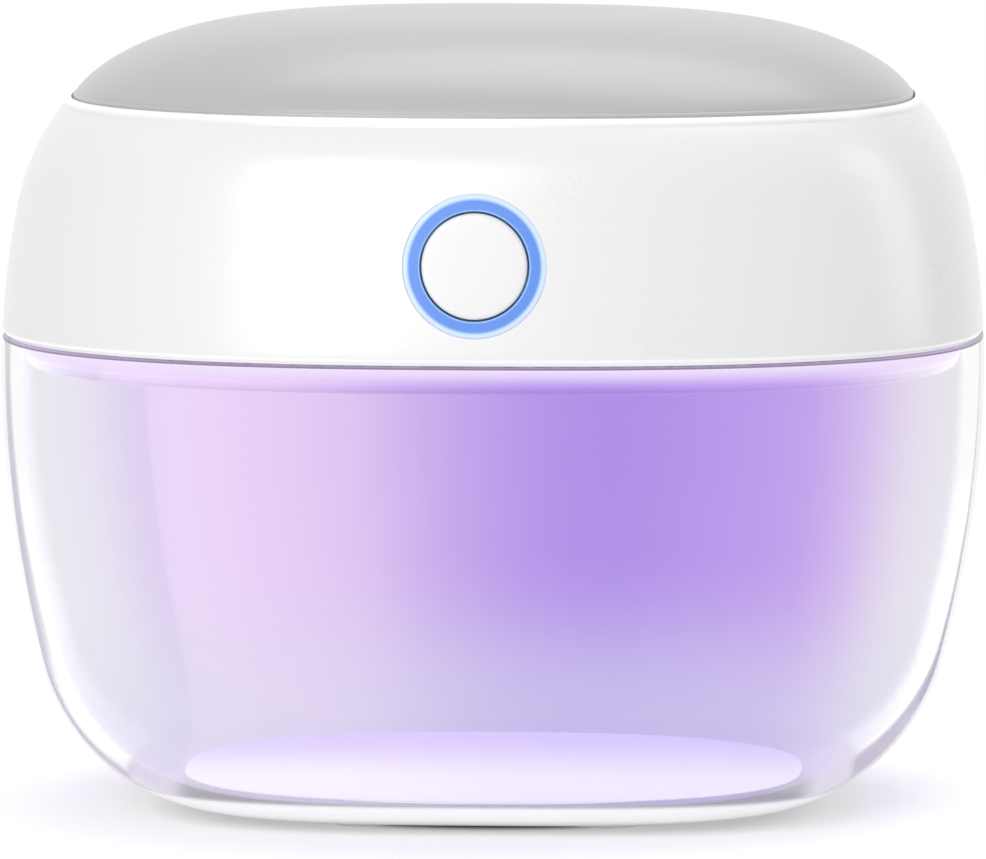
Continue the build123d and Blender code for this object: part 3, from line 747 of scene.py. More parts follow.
@dataclass(frozen=True)
class ClearWall:
    """Clear, faintly milky plastic, with the lamps' light painted on the inside of the far wall."""

    half_x: float
    parting: float
    rear: float
    name: str = "clear_bowl"
    tint: Colour = (0.93, 0.93, 0.95)
    line: Colour = (0.90, 0.90, 0.90)
    joint: Colour = (0.20, 0.14, 0.28)
    haze: float = 0.035
    painted_light_share: float = 0.97
    gap_shade_share: float = 0.85
    line_glow: float = 0.24
    foot_glow: tuple[float, float] = (0.30, 0.50)
    grain: float = 300.0

    def build(self, effects: Effects) -> bpy.types.Material:
        """Makes the material.

        Args:
            effects: The shared node groups.

        Returns:
            The new material.
        """
        surface = Surface(self.name)
        surface.material.use_backface_culling = True
        product, span, axes = surface.product, surface.span, surface.axes()
        inner = surface.add("ShaderNodeAttribute", attribute_name="inner_skin").outputs["Fac"]
        behind = surface.add("ShaderNodeNewGeometry").outputs["Backfacing"]
        facing = surface.add("ShaderNodeLayerWeight", {"Blend": 0.5}).outputs["Facing"]
        outer = surface.math("SUBTRACT", 1.0, inner)

        # Painted light: the far inner skin shows the lamps' light as emission, and its base colour goes
        # black.
        far = product(inner, surface.math("SUBTRACT", 1.0, behind))
        lit = product(far, span(facing, 1.10, 0.75, 0.0, self.painted_light_share))
        # Outline: grey where the outer skin is seen edge-on, with a painted sheen added as emission.
        edge = product(span(facing, 0.84, 0.90), outer)
        # Foot band: opaque low on the outer skin, with painted light added to it as emission.
        foot = product(span(axes["Z"], 4.2 * MM, 3.0 * MM, 0.0, 0.97), outer)
        # A painted shade line under the lid, where the gap's shadow falls; it also dims the painted light.
        joint = self.painted_gap_shade(surface, axes)
        colour = surface.mix(edge, (*self.tint, 1.0), (*self.line, 1.0))
        colour = surface.mix(joint, colour, (*self.joint, 1.0))

        direct = surface.math("SUBTRACT", 1.0, surface.bounced())
        shown = product(far, direct, span(joint, 0.0, 1.0, 1.0, 0.5))
        pale = surface.most(product(edge, self.line_glow),
                            product(foot, span(axes["Z"], 0.9 * MM, 1.8 * MM, *self.foot_glow)))
        light = surface.group(effects.light, {"Half Width": self.half_x, "Top": self.parting})
        grain = surface.group(effects.grain, {"Scale": self.grain})
        surface.set({
            "Base Color": surface.mix(lit, colour, BLACK),
            "Roughness": span(grain["Mask"], 0.3, 0.7, 0.03, 0.07),
            "Alpha": surface.most(edge, self.haze, lit, product(joint, self.gap_shade_share), foot),
            "Emission Color": surface.mix(shown, product(pale, direct), light["Colour"]),
            "Emission Strength": 1.0, "Specular IOR Level": 0.0, "IOR": 1.49,
            "Coat Weight": product(outer, 0.4)})
        surface.hide_glow()
        return surface.material

    def painted_gap_shade(self, surface: Surface, axes: bpy.types.NodeOutputs) -> bpy.types.NodeSocket:
        """Adds a painted shade line just under the lid, where the gap's shadow falls, with the knuckles left
        out.

        Args:
            surface: The material's nodes.
            axes: The bowl's own coordinates.

        Returns:
            The line's mask.
        """
        return surface.product(
            surface.span(axes["Z"], self.parting - 0.22 * MM, self.parting - 0.08 * MM),
            surface.span(axes["Y"], self.rear + 0.5 * MM, self.rear + 0.1 * MM),
            surface.span(axes["Z"], self.parting + 0.1 * MM, self.parting + 0.05 * MM))


@dataclass(frozen=True)
class LitPlastic:
    """White plastic or silicone at the chamber's mouth, with the lamps' light painted up its side as
    emission.
    """

    name: str
    colour: Colour
    roughness: float
    half_x: float
    bottom: float
    top: float
    light_above: float = 0.3 * MM  # how far above the part the light's upper edge lies

    def build(self, effects: Effects) -> bpy.types.Material:
        """Makes the material.

        Args:
            effects: The shared node groups.

        Returns:
            The new material.
        """
        surface = Surface(self.name)
        light = surface.group(effects.light, {"Half Width": self.half_x, "Top": self.top + self.light_above})
        mask, height = surface.group(effects.grain)["Mask"], surface.axes()["Z"]
        # Painted light: up the side, the base colour goes near black and the emission takes the chamber
        # light's colours.
        side = surface.product(
            surface.span(height, self.bottom - 0.2 * MM, self.bottom + 0.8 * MM, 0.7, 1.0),
            surface.span(height, self.top - 0.1 * MM, self.top - 0.4 * MM))
        white = surface.mix(mask, (*(channel * 0.99 for channel in self.colour), 1.0), (*self.colour, 1.0))
        surface.set({"Base Color": surface.mix(side, white, (0.02, 0.02, 0.02, 1.0)),
                     "Roughness": surface.gloss(mask, self.roughness),
                     "Emission Color": surface.mix(side, BLACK, light["Colour"]), "Emission Strength": 1.0})
        return surface.material


@dataclass(frozen=True)
class LitRing:
    """Frosted light ring: a blue band between paler edges, lit from behind, with a painted shadow line at
    its inner edge.
    """

    name: str
    height: float
    inner: float
    outer: float
    strength: float = 0.84
    painted_gap_shadow: Colour = (0.02, 0.05, 0.12)
    pale: Colour = (0.36, 0.60, 0.98)
    blue: Colour = (0.105, 0.27, 0.81)
    rim: tuple[tuple[float, Colour], ...] = (
        (0.72, (0.33, 0.52, 0.93)), (0.80, (0.58, 0.76, 1.0)), (0.95, (0.66, 0.80, 1.0)),
        (1.0, (0.55, 0.62, 0.78)))

    def build(self, effects: Effects) -> bpy.types.Material:
        """Makes the material.

        Args:
            effects: The shared node groups.

        Returns:
            The new material.
        """
        surface = Surface(self.name)
        axes = surface.axes()
        up = surface.math("SUBTRACT", axes["Z"], self.height)
        square = surface.math("ADD", surface.product(axes["X"], axes["X"]), surface.product(up, up))
        share = surface.span(surface.math("SQRT", square), self.inner, self.outer)
        share.node.interpolation_type = "LINEAR"
        # The first stops paint a shadow line in the gap round the button.
        stops = ((0.0, self.painted_gap_shadow), (0.02, self.painted_gap_shadow), (0.05, self.pale), (0.15, self.blue), (0.62, self.blue))
        band = surface.ramp(share, (*stops, *self.rim), "LINEAR")
        mask = surface.group(effects.grain)["Mask"]
        surface.set({"Base Color": surface.mix(0.8, band, BLACK), "Emission Color": band,
                     "Emission Strength": self.strength,
                     "Roughness": surface.span(mask, 0.3, 0.7, 0.28, 0.36)})
        return surface.material


# ---- Geometry Nodes -------------------------------------------------------------------------------
class Pattern:
    """A Geometry Nodes tree with named sizes, made into plain meshes on one body each."""

    def __init__(self, name: str, sizes: dict[str, tuple[str, object]]) -> None:
        """Starts the tree with its named inputs.

        Args:
            name: The tree's name.
            sizes: Socket type and default value by input name.
        """
        self.tree = bpy.data.node_groups.new(name, "GeometryNodeTree")
        for key, (kind, value) in {**sizes, "Place": (VECTOR, (0.0, 0.0, 0.0)),
                                   "Turn": (VECTOR, (0.0, 0.0, 0.0))}.items():
            self.tree.interface.new_socket(key, in_out="INPUT", socket_type=kind).default_value = value
        self.tree.interface.new_socket("Material", in_out="INPUT", socket_type="NodeSocketMaterial")
        self.tree.interface.new_socket("Geometry", in_out="OUTPUT", socket_type="NodeSocketGeometry")
        self.nodes = Nodes(self.tree)
        self.sizes = self.nodes.add("NodeGroupInput").outputs

    def wrapped(self, columns: object, rows: int, place: Callable) -> bpy.types.NodeSocket:
        """Wraps a grid round the Z axis into a closed skin.

        Args:
            columns: Faces round the axis.
            rows: Levels along it, the first and last of them on the axis.
            place: Gives the x, y and z sockets from the turn in radians and the level's share 0 to 1.

        Returns:
            The skin's geometry.
        """
        nodes = self.nodes
        grid = nodes.add("GeometryNodeMeshGrid", {"Size X": 1.0, "Size Y": 1.0, "Vertices Y": rows,
                                                  "Vertices X": nodes.math("ADD", columns, 1.0)})
        parts = nodes.add("ShaderNodeSeparateXYZ", {0: nodes.add("GeometryNodeInputPosition").outputs[0]})
        turn = nodes.product(nodes.math("ADD", parts.outputs["X"], 0.5), 2 * math.pi)
        x, y, z = place(turn, nodes.math("ADD", parts.outputs["Y"], 0.5))
        point = nodes.add("ShaderNodeCombineXYZ", {"X": x, "Y": y, "Z": z}).outputs[0]
        moved = nodes.add("GeometryNodeSetPosition", {"Geometry": grid.outputs["Mesh"], "Position": point})
        merged = nodes.add("GeometryNodeMergeByDistance", {"Geometry": moved.outputs[0],
                                                           "Distance": SEAM / 2})
        return merged.outputs[0]

    def turned(self, levels: Sequence[tuple[object, object]], sides: int = 48) -> bpy.types.NodeSocket:
        """Turns a part round the Z axis.

        Args:
            levels: (radius, height) pairs, sockets or numbers, that start and end on the axis.
            sides: Faces round the axis.

        Returns:
            The part's geometry.
        """
        nodes = self.nodes

        def pick(row: bpy.types.NodeSocket, values: Sequence[object]) -> bpy.types.NodeSocket:
            """Picks a level's value.

            Args:
                row: The level's number.
                values: The levels' values, sockets or numbers.

            Returns:
                The value.
            """
            switch = nodes.add("GeometryNodeIndexSwitch", data_type="FLOAT")
            while len(switch.index_switch_items) < len(values):
                switch.index_switch_items.new()
            nodes.feed(switch, dict(enumerate((row, *values))))
            return switch.outputs[0]

        def place(turn: bpy.types.NodeSocket, share: bpy.types.NodeSocket) -> tuple:
            """Places a point of the grid on the turned part.

            Args:
                turn: Its angle round the part.
                share: Its share of the way along the levels.

            Returns:
                Its x, y and z.
            """
            row = nodes.math("ROUND", nodes.product(share, len(levels) - 1.0))
            radius, height = (pick(row, values) for values in zip(*levels))
            return (nodes.product(radius, nodes.math("COSINE", turn)),
                    nodes.product(radius, nodes.math("SINE", turn)), height)

        return self.wrapped(float(sides), len(levels), place)

    def cut(self, part: bpy.types.NodeSocket,
            cutters: Iterable[bpy.types.NodeSocket]) -> bpy.types.NodeSocket:
        """Cuts closed shapes out of a part.

        Args:
            part: The part's geometry.
            cutters: The shapes' geometry.

        Returns:
            What is left of the part.
        """
        node = self.nodes.add("GeometryNodeMeshBoolean", {"Mesh 1": part}, operation="DIFFERENCE",
                              solver="EXACT")
        for cutter in cutters:
            self.tree.links.new(cutter, node.inputs["Mesh 2"])
        return node.outputs["Mesh"]

    def cube(self, size: tuple, height: object = 0.0) -> bpy.types.NodeSocket:
        """Adds a box on the Z axis.

        Args:
            size: Its sizes along X, Y and Z, sockets or numbers.
            height: Height of its middle.

        Returns:
            The box's geometry.
        """
        vector = self.nodes.add("ShaderNodeCombineXYZ", dict(enumerate(size))).outputs[0]
        cube = self.nodes.add("GeometryNodeMeshCube", {"Size": vector}).outputs["Mesh"]
        lift = self.nodes.add("ShaderNodeCombineXYZ", {"Z": height}).outputs[0]
        return self.nodes.add("GeometryNodeTransform", {"Geometry": cube, "Translation": lift}).outputs[0]

    def on_grid(self, part: bpy.types.NodeSocket) -> None:
        """Repeats a part on a grid of Columns by Rows that spans Width by Depth, and ends the tree.

        Args:
            part: The part's geometry.
        """
        grid = self.nodes.add("GeometryNodeMeshGrid", {
            "Size X": self.sizes["Width"], "Size Y": self.sizes["Depth"],
            "Vertices X": self.sizes["Columns"], "Vertices Y": self.sizes["Rows"]})
        self.end(grid.outputs["Mesh"], part)

    def end(self, points: Optional[bpy.types.NodeSocket], part: bpy.types.NodeSocket) -> None:
        """Moves the whole to its place and ends the tree.

        Args:
            points: Where the part is repeated, or None for the part alone.
            part: The part's geometry.
        """
        add = self.nodes.add
        if points is not None:
            part = add("GeometryNodeInstanceOnPoints", {"Points": points, "Instance": part}).outputs[0]
        moved = add("GeometryNodeTransform", {"Geometry": part, "Translation": self.sizes["Place"],
                                              "Rotation": self.sizes["Turn"]})
        real = add("GeometryNodeRealizeInstances", {"Geometry": moved.outputs[0]})
        dressed = add("GeometryNodeSetMaterial", {"Geometry": real.outputs[0],
                                                  "Material": self.sizes["Material"]})
        add("NodeGroupOutput", {"Geometry": dressed.outputs[0]})

    def make(self, name: str, **sizes: object) -> bpy.types.Object:
        """Makes a plain mesh from the tree.

        Args:
            name: The new object's name.
            sizes: Values by input name, with underscores for spaces.

        Returns:
            The new object, without the modifier.
        """
        piece = new_piece(name, bpy.data.meshes.new(name))
        modifier = piece.modifiers.new(name, "NODES")
        modifier.node_group = self.tree
        for socket in self.tree.interface.items_tree:
            key = socket.name.replace(" ", "_")
            if socket.in_out == "INPUT" and key in sizes:
                modifier[socket.identifier] = sizes[key]
        graph = bpy.context.evaluated_depsgraph_get()
        mesh = bpy.data.meshes.new_from_object(piece.evaluated_get(graph))
        piece.modifiers.clear()
        blank, piece.data = piece.data, mesh
        bpy.data.meshes.remove(blank)
        with editing(mesh) as shape:
            bmesh.ops.recalc_face_normals(shape, faces=shape.faces)
        smooth(mesh)
        return piece


FLOAT, INT, VECTOR = "NodeSocketFloat", "NodeSocketInt", "NodeSocketVector"
GRID = {"Columns": (INT, 2), "Rows": (INT, 2), "Width": (FLOAT, 0.02), "Depth": (FLOAT, 0.02)}


class Patterns:
    """The Geometry Nodes trees of this case, each built once."""

    def __init__(self) -> None:
        """Builds the trees."""
        self.screws = self._screws()
        self.discs = self._discs()
        self.bosses = self._bosses()
        self.lamps = self._lamps()
        self.ring_lamps = self._ring_lamps()
        self.dome = self._dome()

    def _screws(self) -> Pattern:
        """Builds rows of pan-head screws with a cross recess, their heads above the plane.

        Returns:
            The pattern.
        """
        pattern = Pattern("rows_of_screws", {
            **GRID, "Shank Radius": (FLOAT, 0.9 * MM), "Length": (FLOAT, 5 * MM),
            "Head Radius": (FLOAT, 1.7 * MM), "Head Height": (FLOAT, 1.1 * MM)})
        product, sizes = pattern.nodes.product, pattern.sizes
        shank, head, tall = sizes["Shank Radius"], sizes["Head Radius"], sizes["Head Height"]
        tip = product(sizes["Length"], -1.0)
        levels: list[tuple[object, object]] = [(0.0, tip), (shank, tip), (shank, 0.0), (head, 0.0)]
        crown = 0.45  # share of the head's height that is rounded
        for run, rise in quarter(4):
            radius = pattern.nodes.math("SUBTRACT", head, product(tall, crown * run))
            levels.append((radius, product(tall, 1 - crown + crown * rise)))
        screw = pattern.turned([*levels, (0.0, tall)])
        long, thin = product(head, 1.3), product(head, 0.28)
        bars = [pattern.cube(size, tall) for size in ((long, thin, tall), (thin, long, tall))]
        pattern.on_grid(pattern.cut(screw, bars))
        return pattern

    def _discs(self) -> Pattern:
        """Builds rows of stepped discs, such as feet and lamp windows, with a softened lower edge.

        Returns:
            The pattern.
        """
        pattern = Pattern("rows_of_discs", {
            **GRID, "Radius": (FLOAT, 3.5 * MM), "Height": (FLOAT, 1 * MM), "Edge": (FLOAT, 0.2 * MM),
            "Flange Radius": (FLOAT, 3.5 * MM), "Flange Height": (FLOAT, 0.1 * MM)})
        calc, product, sizes = pattern.nodes.math, pattern.nodes.product, pattern.sizes
        radius, high, edge = sizes["Radius"], sizes["Height"], sizes["Edge"]
        levels: list[tuple[object, object]] = [(0.0, 0.0)]
        for run, rise in quarter(4):
            levels.append((calc("SUBTRACT", radius, product(edge, 1 - rise)), product(edge, run)))
        flange, top = sizes["Flange Radius"], calc("ADD", high, sizes["Flange Height"])
        levels += [(radius, high), (flange, high), (flange, top), (0.0, top)]
        pattern.on_grid(pattern.turned(levels, 64))
        return pattern

    def _bosses(self) -> Pattern:
        """Builds rows of screw bosses, each with a blind hole in its lower end.

        Returns:
            The pattern.
        """
        pattern = Pattern("rows_of_bosses", {
            **GRID, "Radius": (FLOAT, 2.5 * MM), "Length": (FLOAT, 20 * MM),
            "Hole Radius": (FLOAT, 1.15 * MM), "Hole Depth": (FLOAT, 9 * MM)})
        sizes = pattern.sizes
        hole, deep, radius, tall = (
            sizes[key] for key in ("Hole Radius", "Hole Depth", "Radius", "Length"))
        pattern.on_grid(pattern.turned([(0.0, deep), (hole, deep), (hole, 0.0), (radius, 0.0),
                                        (radius, tall), (0.0, tall)]))
        return pattern

    def _lamps(self) -> Pattern:
        """Builds rows of square lamps, each with a round window in its lower face.

        Returns:
            The pattern.
        """
        pattern = Pattern("rows_of_lamps", {
            **GRID, "Side": (FLOAT, 3.5 * MM), "Height": (FLOAT, 1.1 * MM),
            "Window Radius": (FLOAT, 1.3 * MM), "Window Depth": (FLOAT, 0.4 * MM)})
        sizes, below = pattern.sizes, -1 * MM
        side, tall = sizes["Side"], sizes["Height"]
        window, deep = sizes["Window Radius"], sizes["Window Depth"]
        body = pattern.cube((side, side, tall), pattern.nodes.product(tall, 0.5))
        hollow = pattern.turned([(0.0, below), (window, below), (window, deep), (0.0, deep)])
        pattern.on_grid(pattern.cut(body, [hollow]))
        return pattern

    def _ring_lamps(self) -> Pattern:
        """Builds small square lamps round a circle in an upright plane.

        Returns:
            The pattern.
        """
        pattern = Pattern("ring_of_lamps", {"Count": (INT, 8), "Ring Radius": (FLOAT, 7.1 * MM),
                                            "Side": (FLOAT, 1.2 * MM), "Height": (FLOAT, 0.6 * MM)})
        sizes, add = pattern.sizes, pattern.nodes.add
        circle = add("GeometryNodeMeshCircle", {"Vertices": sizes["Count"], "Radius": sizes["Ring Radius"]})
        half_step = pattern.nodes.math("DIVIDE", math.pi, sizes["Count"])
        turn = add("ShaderNodeCombineXYZ", {"Z": half_step}).outputs[0]
        turned = add("GeometryNodeTransform", {"Geometry": circle.outputs[0], "Rotation": turn})
        pattern.end(turned.outputs[0], pattern.cube((sizes["Side"], sizes["Side"], sizes["Height"])))
        return pattern

    def _dome(self) -> Pattern:
        """Builds the cap's dome, a superellipse in plan whose rise follows a second superellipse.

        Returns:
            The pattern.
        """
        pattern = Pattern("domed_skin", {
            "Half Width": (FLOAT, 44 * MM), "Half Depth": (FLOAT, 35 * MM), "Rise": (FLOAT, 8 * MM),
            "Foot Height": (FLOAT, 76 * MM), "Plan Power": (FLOAT, 2.5), "Out Power": (FLOAT, 4.0),
            "Up Power": (FLOAT, 1.28)})
        calc, product, sizes = pattern.nodes.math, pattern.nodes.product, pattern.sizes

        def bowed(value: bpy.types.NodeSocket, power: bpy.types.NodeSocket) -> bpy.types.NodeSocket:
            """Raises a value's size to 2 / power and keeps its sign."""
            size = calc("POWER", calc("ABSOLUTE", value), calc("DIVIDE", 2.0, power))
            return product(size, calc("SIGN", value))

        def place(turn: bpy.types.NodeSocket, share: bpy.types.NodeSocket) -> tuple:
            """Places a point of the grid on the dome.

            Args:
                turn: Its angle round the dome.
                share: Its share of the way from the foot to the top.

            Returns:
                Its x, y and z.
            """
            angle = product(share, math.pi / 2)
            out = bowed(pattern.nodes.most(calc("COSINE", angle), 0.0), sizes["Out Power"])
            across, along = (bowed(calc(part, turn), sizes["Plan Power"]) for part in ("COSINE", "SINE"))
            rise = product(bowed(calc("SINE", angle), sizes["Up Power"]), sizes["Rise"])
            return (product(across, out, sizes["Half Width"]), product(along, out, sizes["Half Depth"]),
                    calc("ADD", sizes["Foot Height"], rise))

        pattern.end(None, pattern.wrapped(float(RING_POINTS), 49, place))
        return pattern


# ---- Sub-assemblies -------------------------------------------------------------------------------
@dataclass
class Case:
    """What every sub-assembly shares: the frame, the two outlines, the patterns and the hinge."""

    nodes: dict[str, bpy.types.Object]
    effects: Effects
    patterns: Patterns
    middle_y: float
    wall: float = 2.0 * MM  # thickness of the bowl's and the lid's walls
    cap_half: tuple[float, float] = (44.45 * MM, 35.4 * MM)
    button_z: float = 60.5 * MM
    post_at: tuple[float, float] = (35 * MM, 23 * MM)  # the liner's posts and screws, from the middle
    stub_x: float = 13 * MM  # the button board's stubs and screws, from the middle
    hinge_out: float = 2.2 * MM
    knuckle_radius: float = 3.0 * MM
    parting: float = 50.0 * MM
    lid_gap: float = 0.2 * MM
    lid_knuckle: float = 14.0 * MM
    bowl_knuckle: float = 6.0 * MM
    knuckle_gap: float = 0.3 * MM
    bowl: Outline = field(init=False)
    lid: Outline = field(init=False)

    def __post_init__(self) -> None:
        """Works out the two outlines."""
        across, along, base_z = 52.1 * MM, 41 * MM, 0.5 * MM
        self.bowl = Outline(Wall(across, BOWL_SWEEP, corner=21.2 * MM, end_z=base_z),
                            Wall(along, 290 * MM, corner=14.9 * MM, end_z=base_z), self.middle_y)
        self.lid = Outline(Wall(across, 84 * MM, corner=24 * MM, end_z=83.45 * MM),
                           Wall(along, 180 * MM, corner=12 * MM, end_z=78.45 * MM), self.middle_y)

    @property
    def hinge(self) -> tuple[float, float]:
        """The hinge axis, as (y, z)."""
        return (self.middle_y + self.bowl.along.half + self.hinge_out, self.parting + self.lid_gap / 2)

    def bowl_knuckles(self) -> list[tuple[float, float]]:
        """Left and right ends of the bowl's two knuckles."""
        inner = self.lid_knuckle / 2 + self.knuckle_gap
        return [(-inner - self.bowl_knuckle, -inner), (inner, inner + self.bowl_knuckle)]

    def hinge_tube(self, name: str, left: float, right: float, radius: float,
                   sides: int = 96) -> bpy.types.Object:
        """Makes a cylinder on the hinge axis.

        Args:
            name: The new object's name.
            left: Place of its left end.
            right: Place of its right end.
            radius: Its radius.
            sides: Faces round it.

        Returns:
            The new object.
        """
        y, z = self.hinge
        return tube(name, Vector((left, y, z)), Vector((right, y, z)), radius, sides)

    def copy(self, node: str, name: str, body: Body, finish: Finish,
             angle: float = SHARP) -> bpy.types.Object:
        """Replaces a CAD node by a smooth copy of itself.

        Args:
            node: The CAD node.
            name: The new piece's name.
            body: The CAD body that carries it.
            finish: Its finish.
            angle: Edges that turn by more than this stay sharp.

        Returns:
            The new piece.
        """
        piece = copy_of_node(self.nodes[node], name, angle)
        return finish_piece(piece, body, self.slot(node), [node], finish.build(self.effects))

    def dress(self, node: str, piece: bpy.types.Object, body: Body, finish: Finish) -> None:
        """Lets a piece stand for one CAD node, with a finish."""
        finish_piece(piece, body, self.slot(node), [node], finish.build(self.effects))

    def grid(self, pattern: Pattern, name: str, x: Sequence[float], y: Sequence[float], z: float,
             turn: tuple[float, float, float] = (0.0, 0.0, 0.0), **sizes: object) -> bpy.types.Object:
        """Repeats a pattern's part at evenly spaced places.

        Args:
            pattern: The Geometry Nodes pattern.
            name: The new object's name.
            x: First and last place across, and how many there are.
            y: First and last place from front to back, and how many there are.
            z: Height of the parts.
            turn: Turn of the whole pattern.
            sizes: The part's own sizes.

        Returns:
            The new object.
        """
        place = ((x[0] + x[1]) / 2, (y[0] + y[1]) / 2 + self.middle_y, z)
        return pattern.make(name, Columns=int(x[2]), Rows=int(y[2]), Width=x[1] - x[0], Depth=y[1] - y[0],
                            Place=place, Turn=turn, **sizes)

    def slot(self, node: str) -> str:
        """The record's material slot of a CAD node."""
        return next(part["material_slot"] for part in SUBPARTS if part["node"] == node)


SUBPARTS: list[dict] = []


@dataclass
class BowlAssembly:
    """The clear bowl with its mat, feet, hinge pin and magnet."""

    case: Case
    base: float = 0.5 * MM
    rim_round: float = 0.3 * MM
    levels: int = 70  # rings up each skin
    crowding: float = 2.2  # how strongly they crowd to the foot
    mat_thick: float = 0.8 * MM
    mat_lip: float = 0.3 * MM
    mat_bottom: tuple[float, float] = (26.6 * MM, 23.4 * MM)
    mat_top: tuple[float, float] = (32.9 * MM, 27.2 * MM)
    gusset_z: float = 39.0 * MM
    gusset_tip: float = 0.6 * MM
    pin_radius: float = 1.02 * MM
    magnet_radius: float = 1.35 * MM
    magnet_length: float = 3.0 * MM
    magnet_ahead: float = 2.0 * MM  # in front of the hinge axis
    magnet_below: float = 5.0 * MM  # under the hinge axis

    def skin(self, inset: float, low: float) -> list[Ring]:
        """Gives rings up one skin of the wall, closer together at the foot.

        Args:
            inset: How far inside the outer wall the skin lies.
            low: Its lowest height.

        Returns:
            The rings, from low to high.
        """
        rise = self.case.parting - self.rim_round - low
        heights = [low + rise * share**self.crowding for share in between(0.0, 1.0, self.levels)]
        return [self.case.bowl.level(z, inset) for z in heights]

    def flat(self, z: float, inset: float) -> list[Ring]:
        """Gives rings over the flat inside a skin's lowest ring, from near its middle outwards."""
        return [self.case.bowl.level(z, inset, share) for share in (0.02, 0.25, 0.5, 0.75)]

    def rim(self) -> list[Ring]:
        """Gives rings over the rim, which has a round on each side of a flat.

        Returns:
            The rings, from outside to inside.
        """
        rings, middle = [], self.case.wall / 2
        for angle in between(0.0, math.pi, 12)[1:-1]:
            side = math.copysign(1, math.cos(angle))
            inset = middle - (middle - self.rim_round) * side - self.rim_round * math.cos(angle)
            rings.append(self.case.bowl.level(
                self.case.parting - self.rim_round + self.rim_round * math.sin(angle), inset))
        return rings

    def shell(self) -> bpy.types.Object:
        """Builds the bowl: two skins, a rounded rim, two knuckles and the hollows for pin and magnet.

        Returns:
            The bowl.
        """
        case, floor = self.case, self.base + self.case.wall
        rings = self.flat(self.base, 0.0) + self.skin(0.0, self.base) + self.rim()
        rings += self.skin(case.wall, floor)[::-1] + self.flat(floor, case.wall)[::-1]
        piece = loft("bowl_shell", rings, start_cap=True, end_cap=True)
        tip_y = case.middle_y + case.bowl.along.half_at(self.gusset_z) - 2 * self.gusset_tip
        web = teardrop(case.hinge, case.knuckle_radius, (tip_y, self.gusset_z), self.gusset_tip)
        combine(piece, [prism_x("knuckle", web, *ends) for ends in case.bowl_knuckles()], "UNION")
        half = case.lid_knuckle / 2 + case.knuckle_gap
        combine(piece, [
            case.hinge_tube("relief", -half, half, case.knuckle_radius + case.knuckle_gap),
            case.hinge_tube("bore", -2 * half, 2 * half, self.pin_radius, 48),
            self.magnet_slug()], "DIFFERENCE")
        self.mark_inner(piece)
        return piece

    def magnet_slug(self) -> bpy.types.Object:
        """Builds the magnet's hollow in the web of the right-hand knuckle.

        Returns:
            The hollow, as a closed cylinder.
        """
        hinge_y, hinge_z = self.case.hinge
        right = self.case.bowl_knuckles()[1][1]
        y, z = hinge_y - self.magnet_ahead, hinge_z - self.magnet_below
        return tube("magnet_slug", Vector((right - self.magnet_length, y, z)), Vector((right, y, z)),
                    self.magnet_radius, 64)

    def mark_inner(self, piece: bpy.types.Object) -> None:
        """Marks the points that lie inside the middle of the wall.

        Args:
            piece: The bowl.
        """
        outline, half = self.case.bowl, self.case.wall / 2
        values = []
        for vertex in piece.data.vertices:
            x, y, z = vertex.co
            z_in = min(max(z, self.base + half), self.case.parting)
            share_x = abs(x) / outline.across.half_at(z_in, half)
            share_y = abs(y - outline.centre_y) / outline.along.half_at(z_in, half)
            power = outline.power_at(z_in)
            values.append(float(share_x**power + share_y**power < 1 and z > self.base + half))
        mark = piece.data.attributes.new("inner_skin", "FLOAT", "POINT")
        mark.data.foreach_set("value", values)

    def mat(self) -> bpy.types.Object:
        """Builds the floor mat, a shallow dish with a rounded lip.

        Returns:
            The mat.
        """
        oval, low = self.case.bowl.oval, self.base + self.case.wall
        (low_x, low_y), (top_x, top_y) = self.mat_bottom, self.mat_top
        top, lip, side_end = low + self.mat_thick, self.mat_lip, 0.86
        rings = [oval(low_x * share, low_y * share, low) for share in (0.02, 0.5, 0.98, 1.0)]
        for share in between(0.0, side_end, 8)[1:]:
            rings.append(oval(low_x + (top_x - low_x) * share, low_y + (top_y - low_y) * share,
                              low + self.mat_thick * share))
        for run, rise in quarter(8):
            rings.append(oval(top_x - lip * run, top_y - lip * run, top - lip * 0.4 * (1 - rise)))
        rings += [oval(top_x * share, top_y * share, top) for share in (0.97, 0.75, 0.5, 0.25, 0.02)]
        return loft("floor_mat_dish", rings, start_cap=True, end_cap=True)

    def build(self) -> None:
        """Builds and dresses the bowl and what it carries."""
        case = self.case
        clear = ClearWall(case.bowl.across.half, case.parting, case.middle_y + case.bowl.along.half)
        finish_piece(self.shell(), Body.BOWL, case.slot("bowl"), ["bowl"], clear.build(case.effects))
        # The mat's colour is painted lamplight, paler in front and violet at the rear.
        case.dress("floor_mat", self.mat(), Body.BOWL,
                   Finish("white_silicone", (0.86, 0.86, 0.88), 0.42, shade=0.01, glow=(0.68, 0.69, 0.72),
                          painted_light_rear=(0.43, 0.385, 0.62), glow_strength=1.0))
        feet = case.grid(case.patterns.discs, "silicone_feet", (-13 * MM, 13 * MM, 2),
                         (-20 * MM, 20 * MM, 2), 0.0, Radius=3.5 * MM, Height=0.9 * MM, Edge=0.25 * MM,
                         Flange_Radius=3.5 * MM, Flange_Height=0.1 * MM)
        case.dress("feet", feet, Body.BOWL,
                   Finish("foot_silicone", (0.80, 0.80, 0.81), 0.5, shade=0.02, alpha=0.45))
        case.copy("hinge_pin", "steel_hinge_pin", Body.BOWL,
                  Finish("ground_steel", (0.62, 0.62, 0.64), 0.22, metallic=1.0, grain=2400))
        case.copy("interlock_magnet", "nickel_magnet", Body.BOWL,
                  Finish("nickel_plate", (0.7, 0.69, 0.66), 0.16, metallic=1.0))


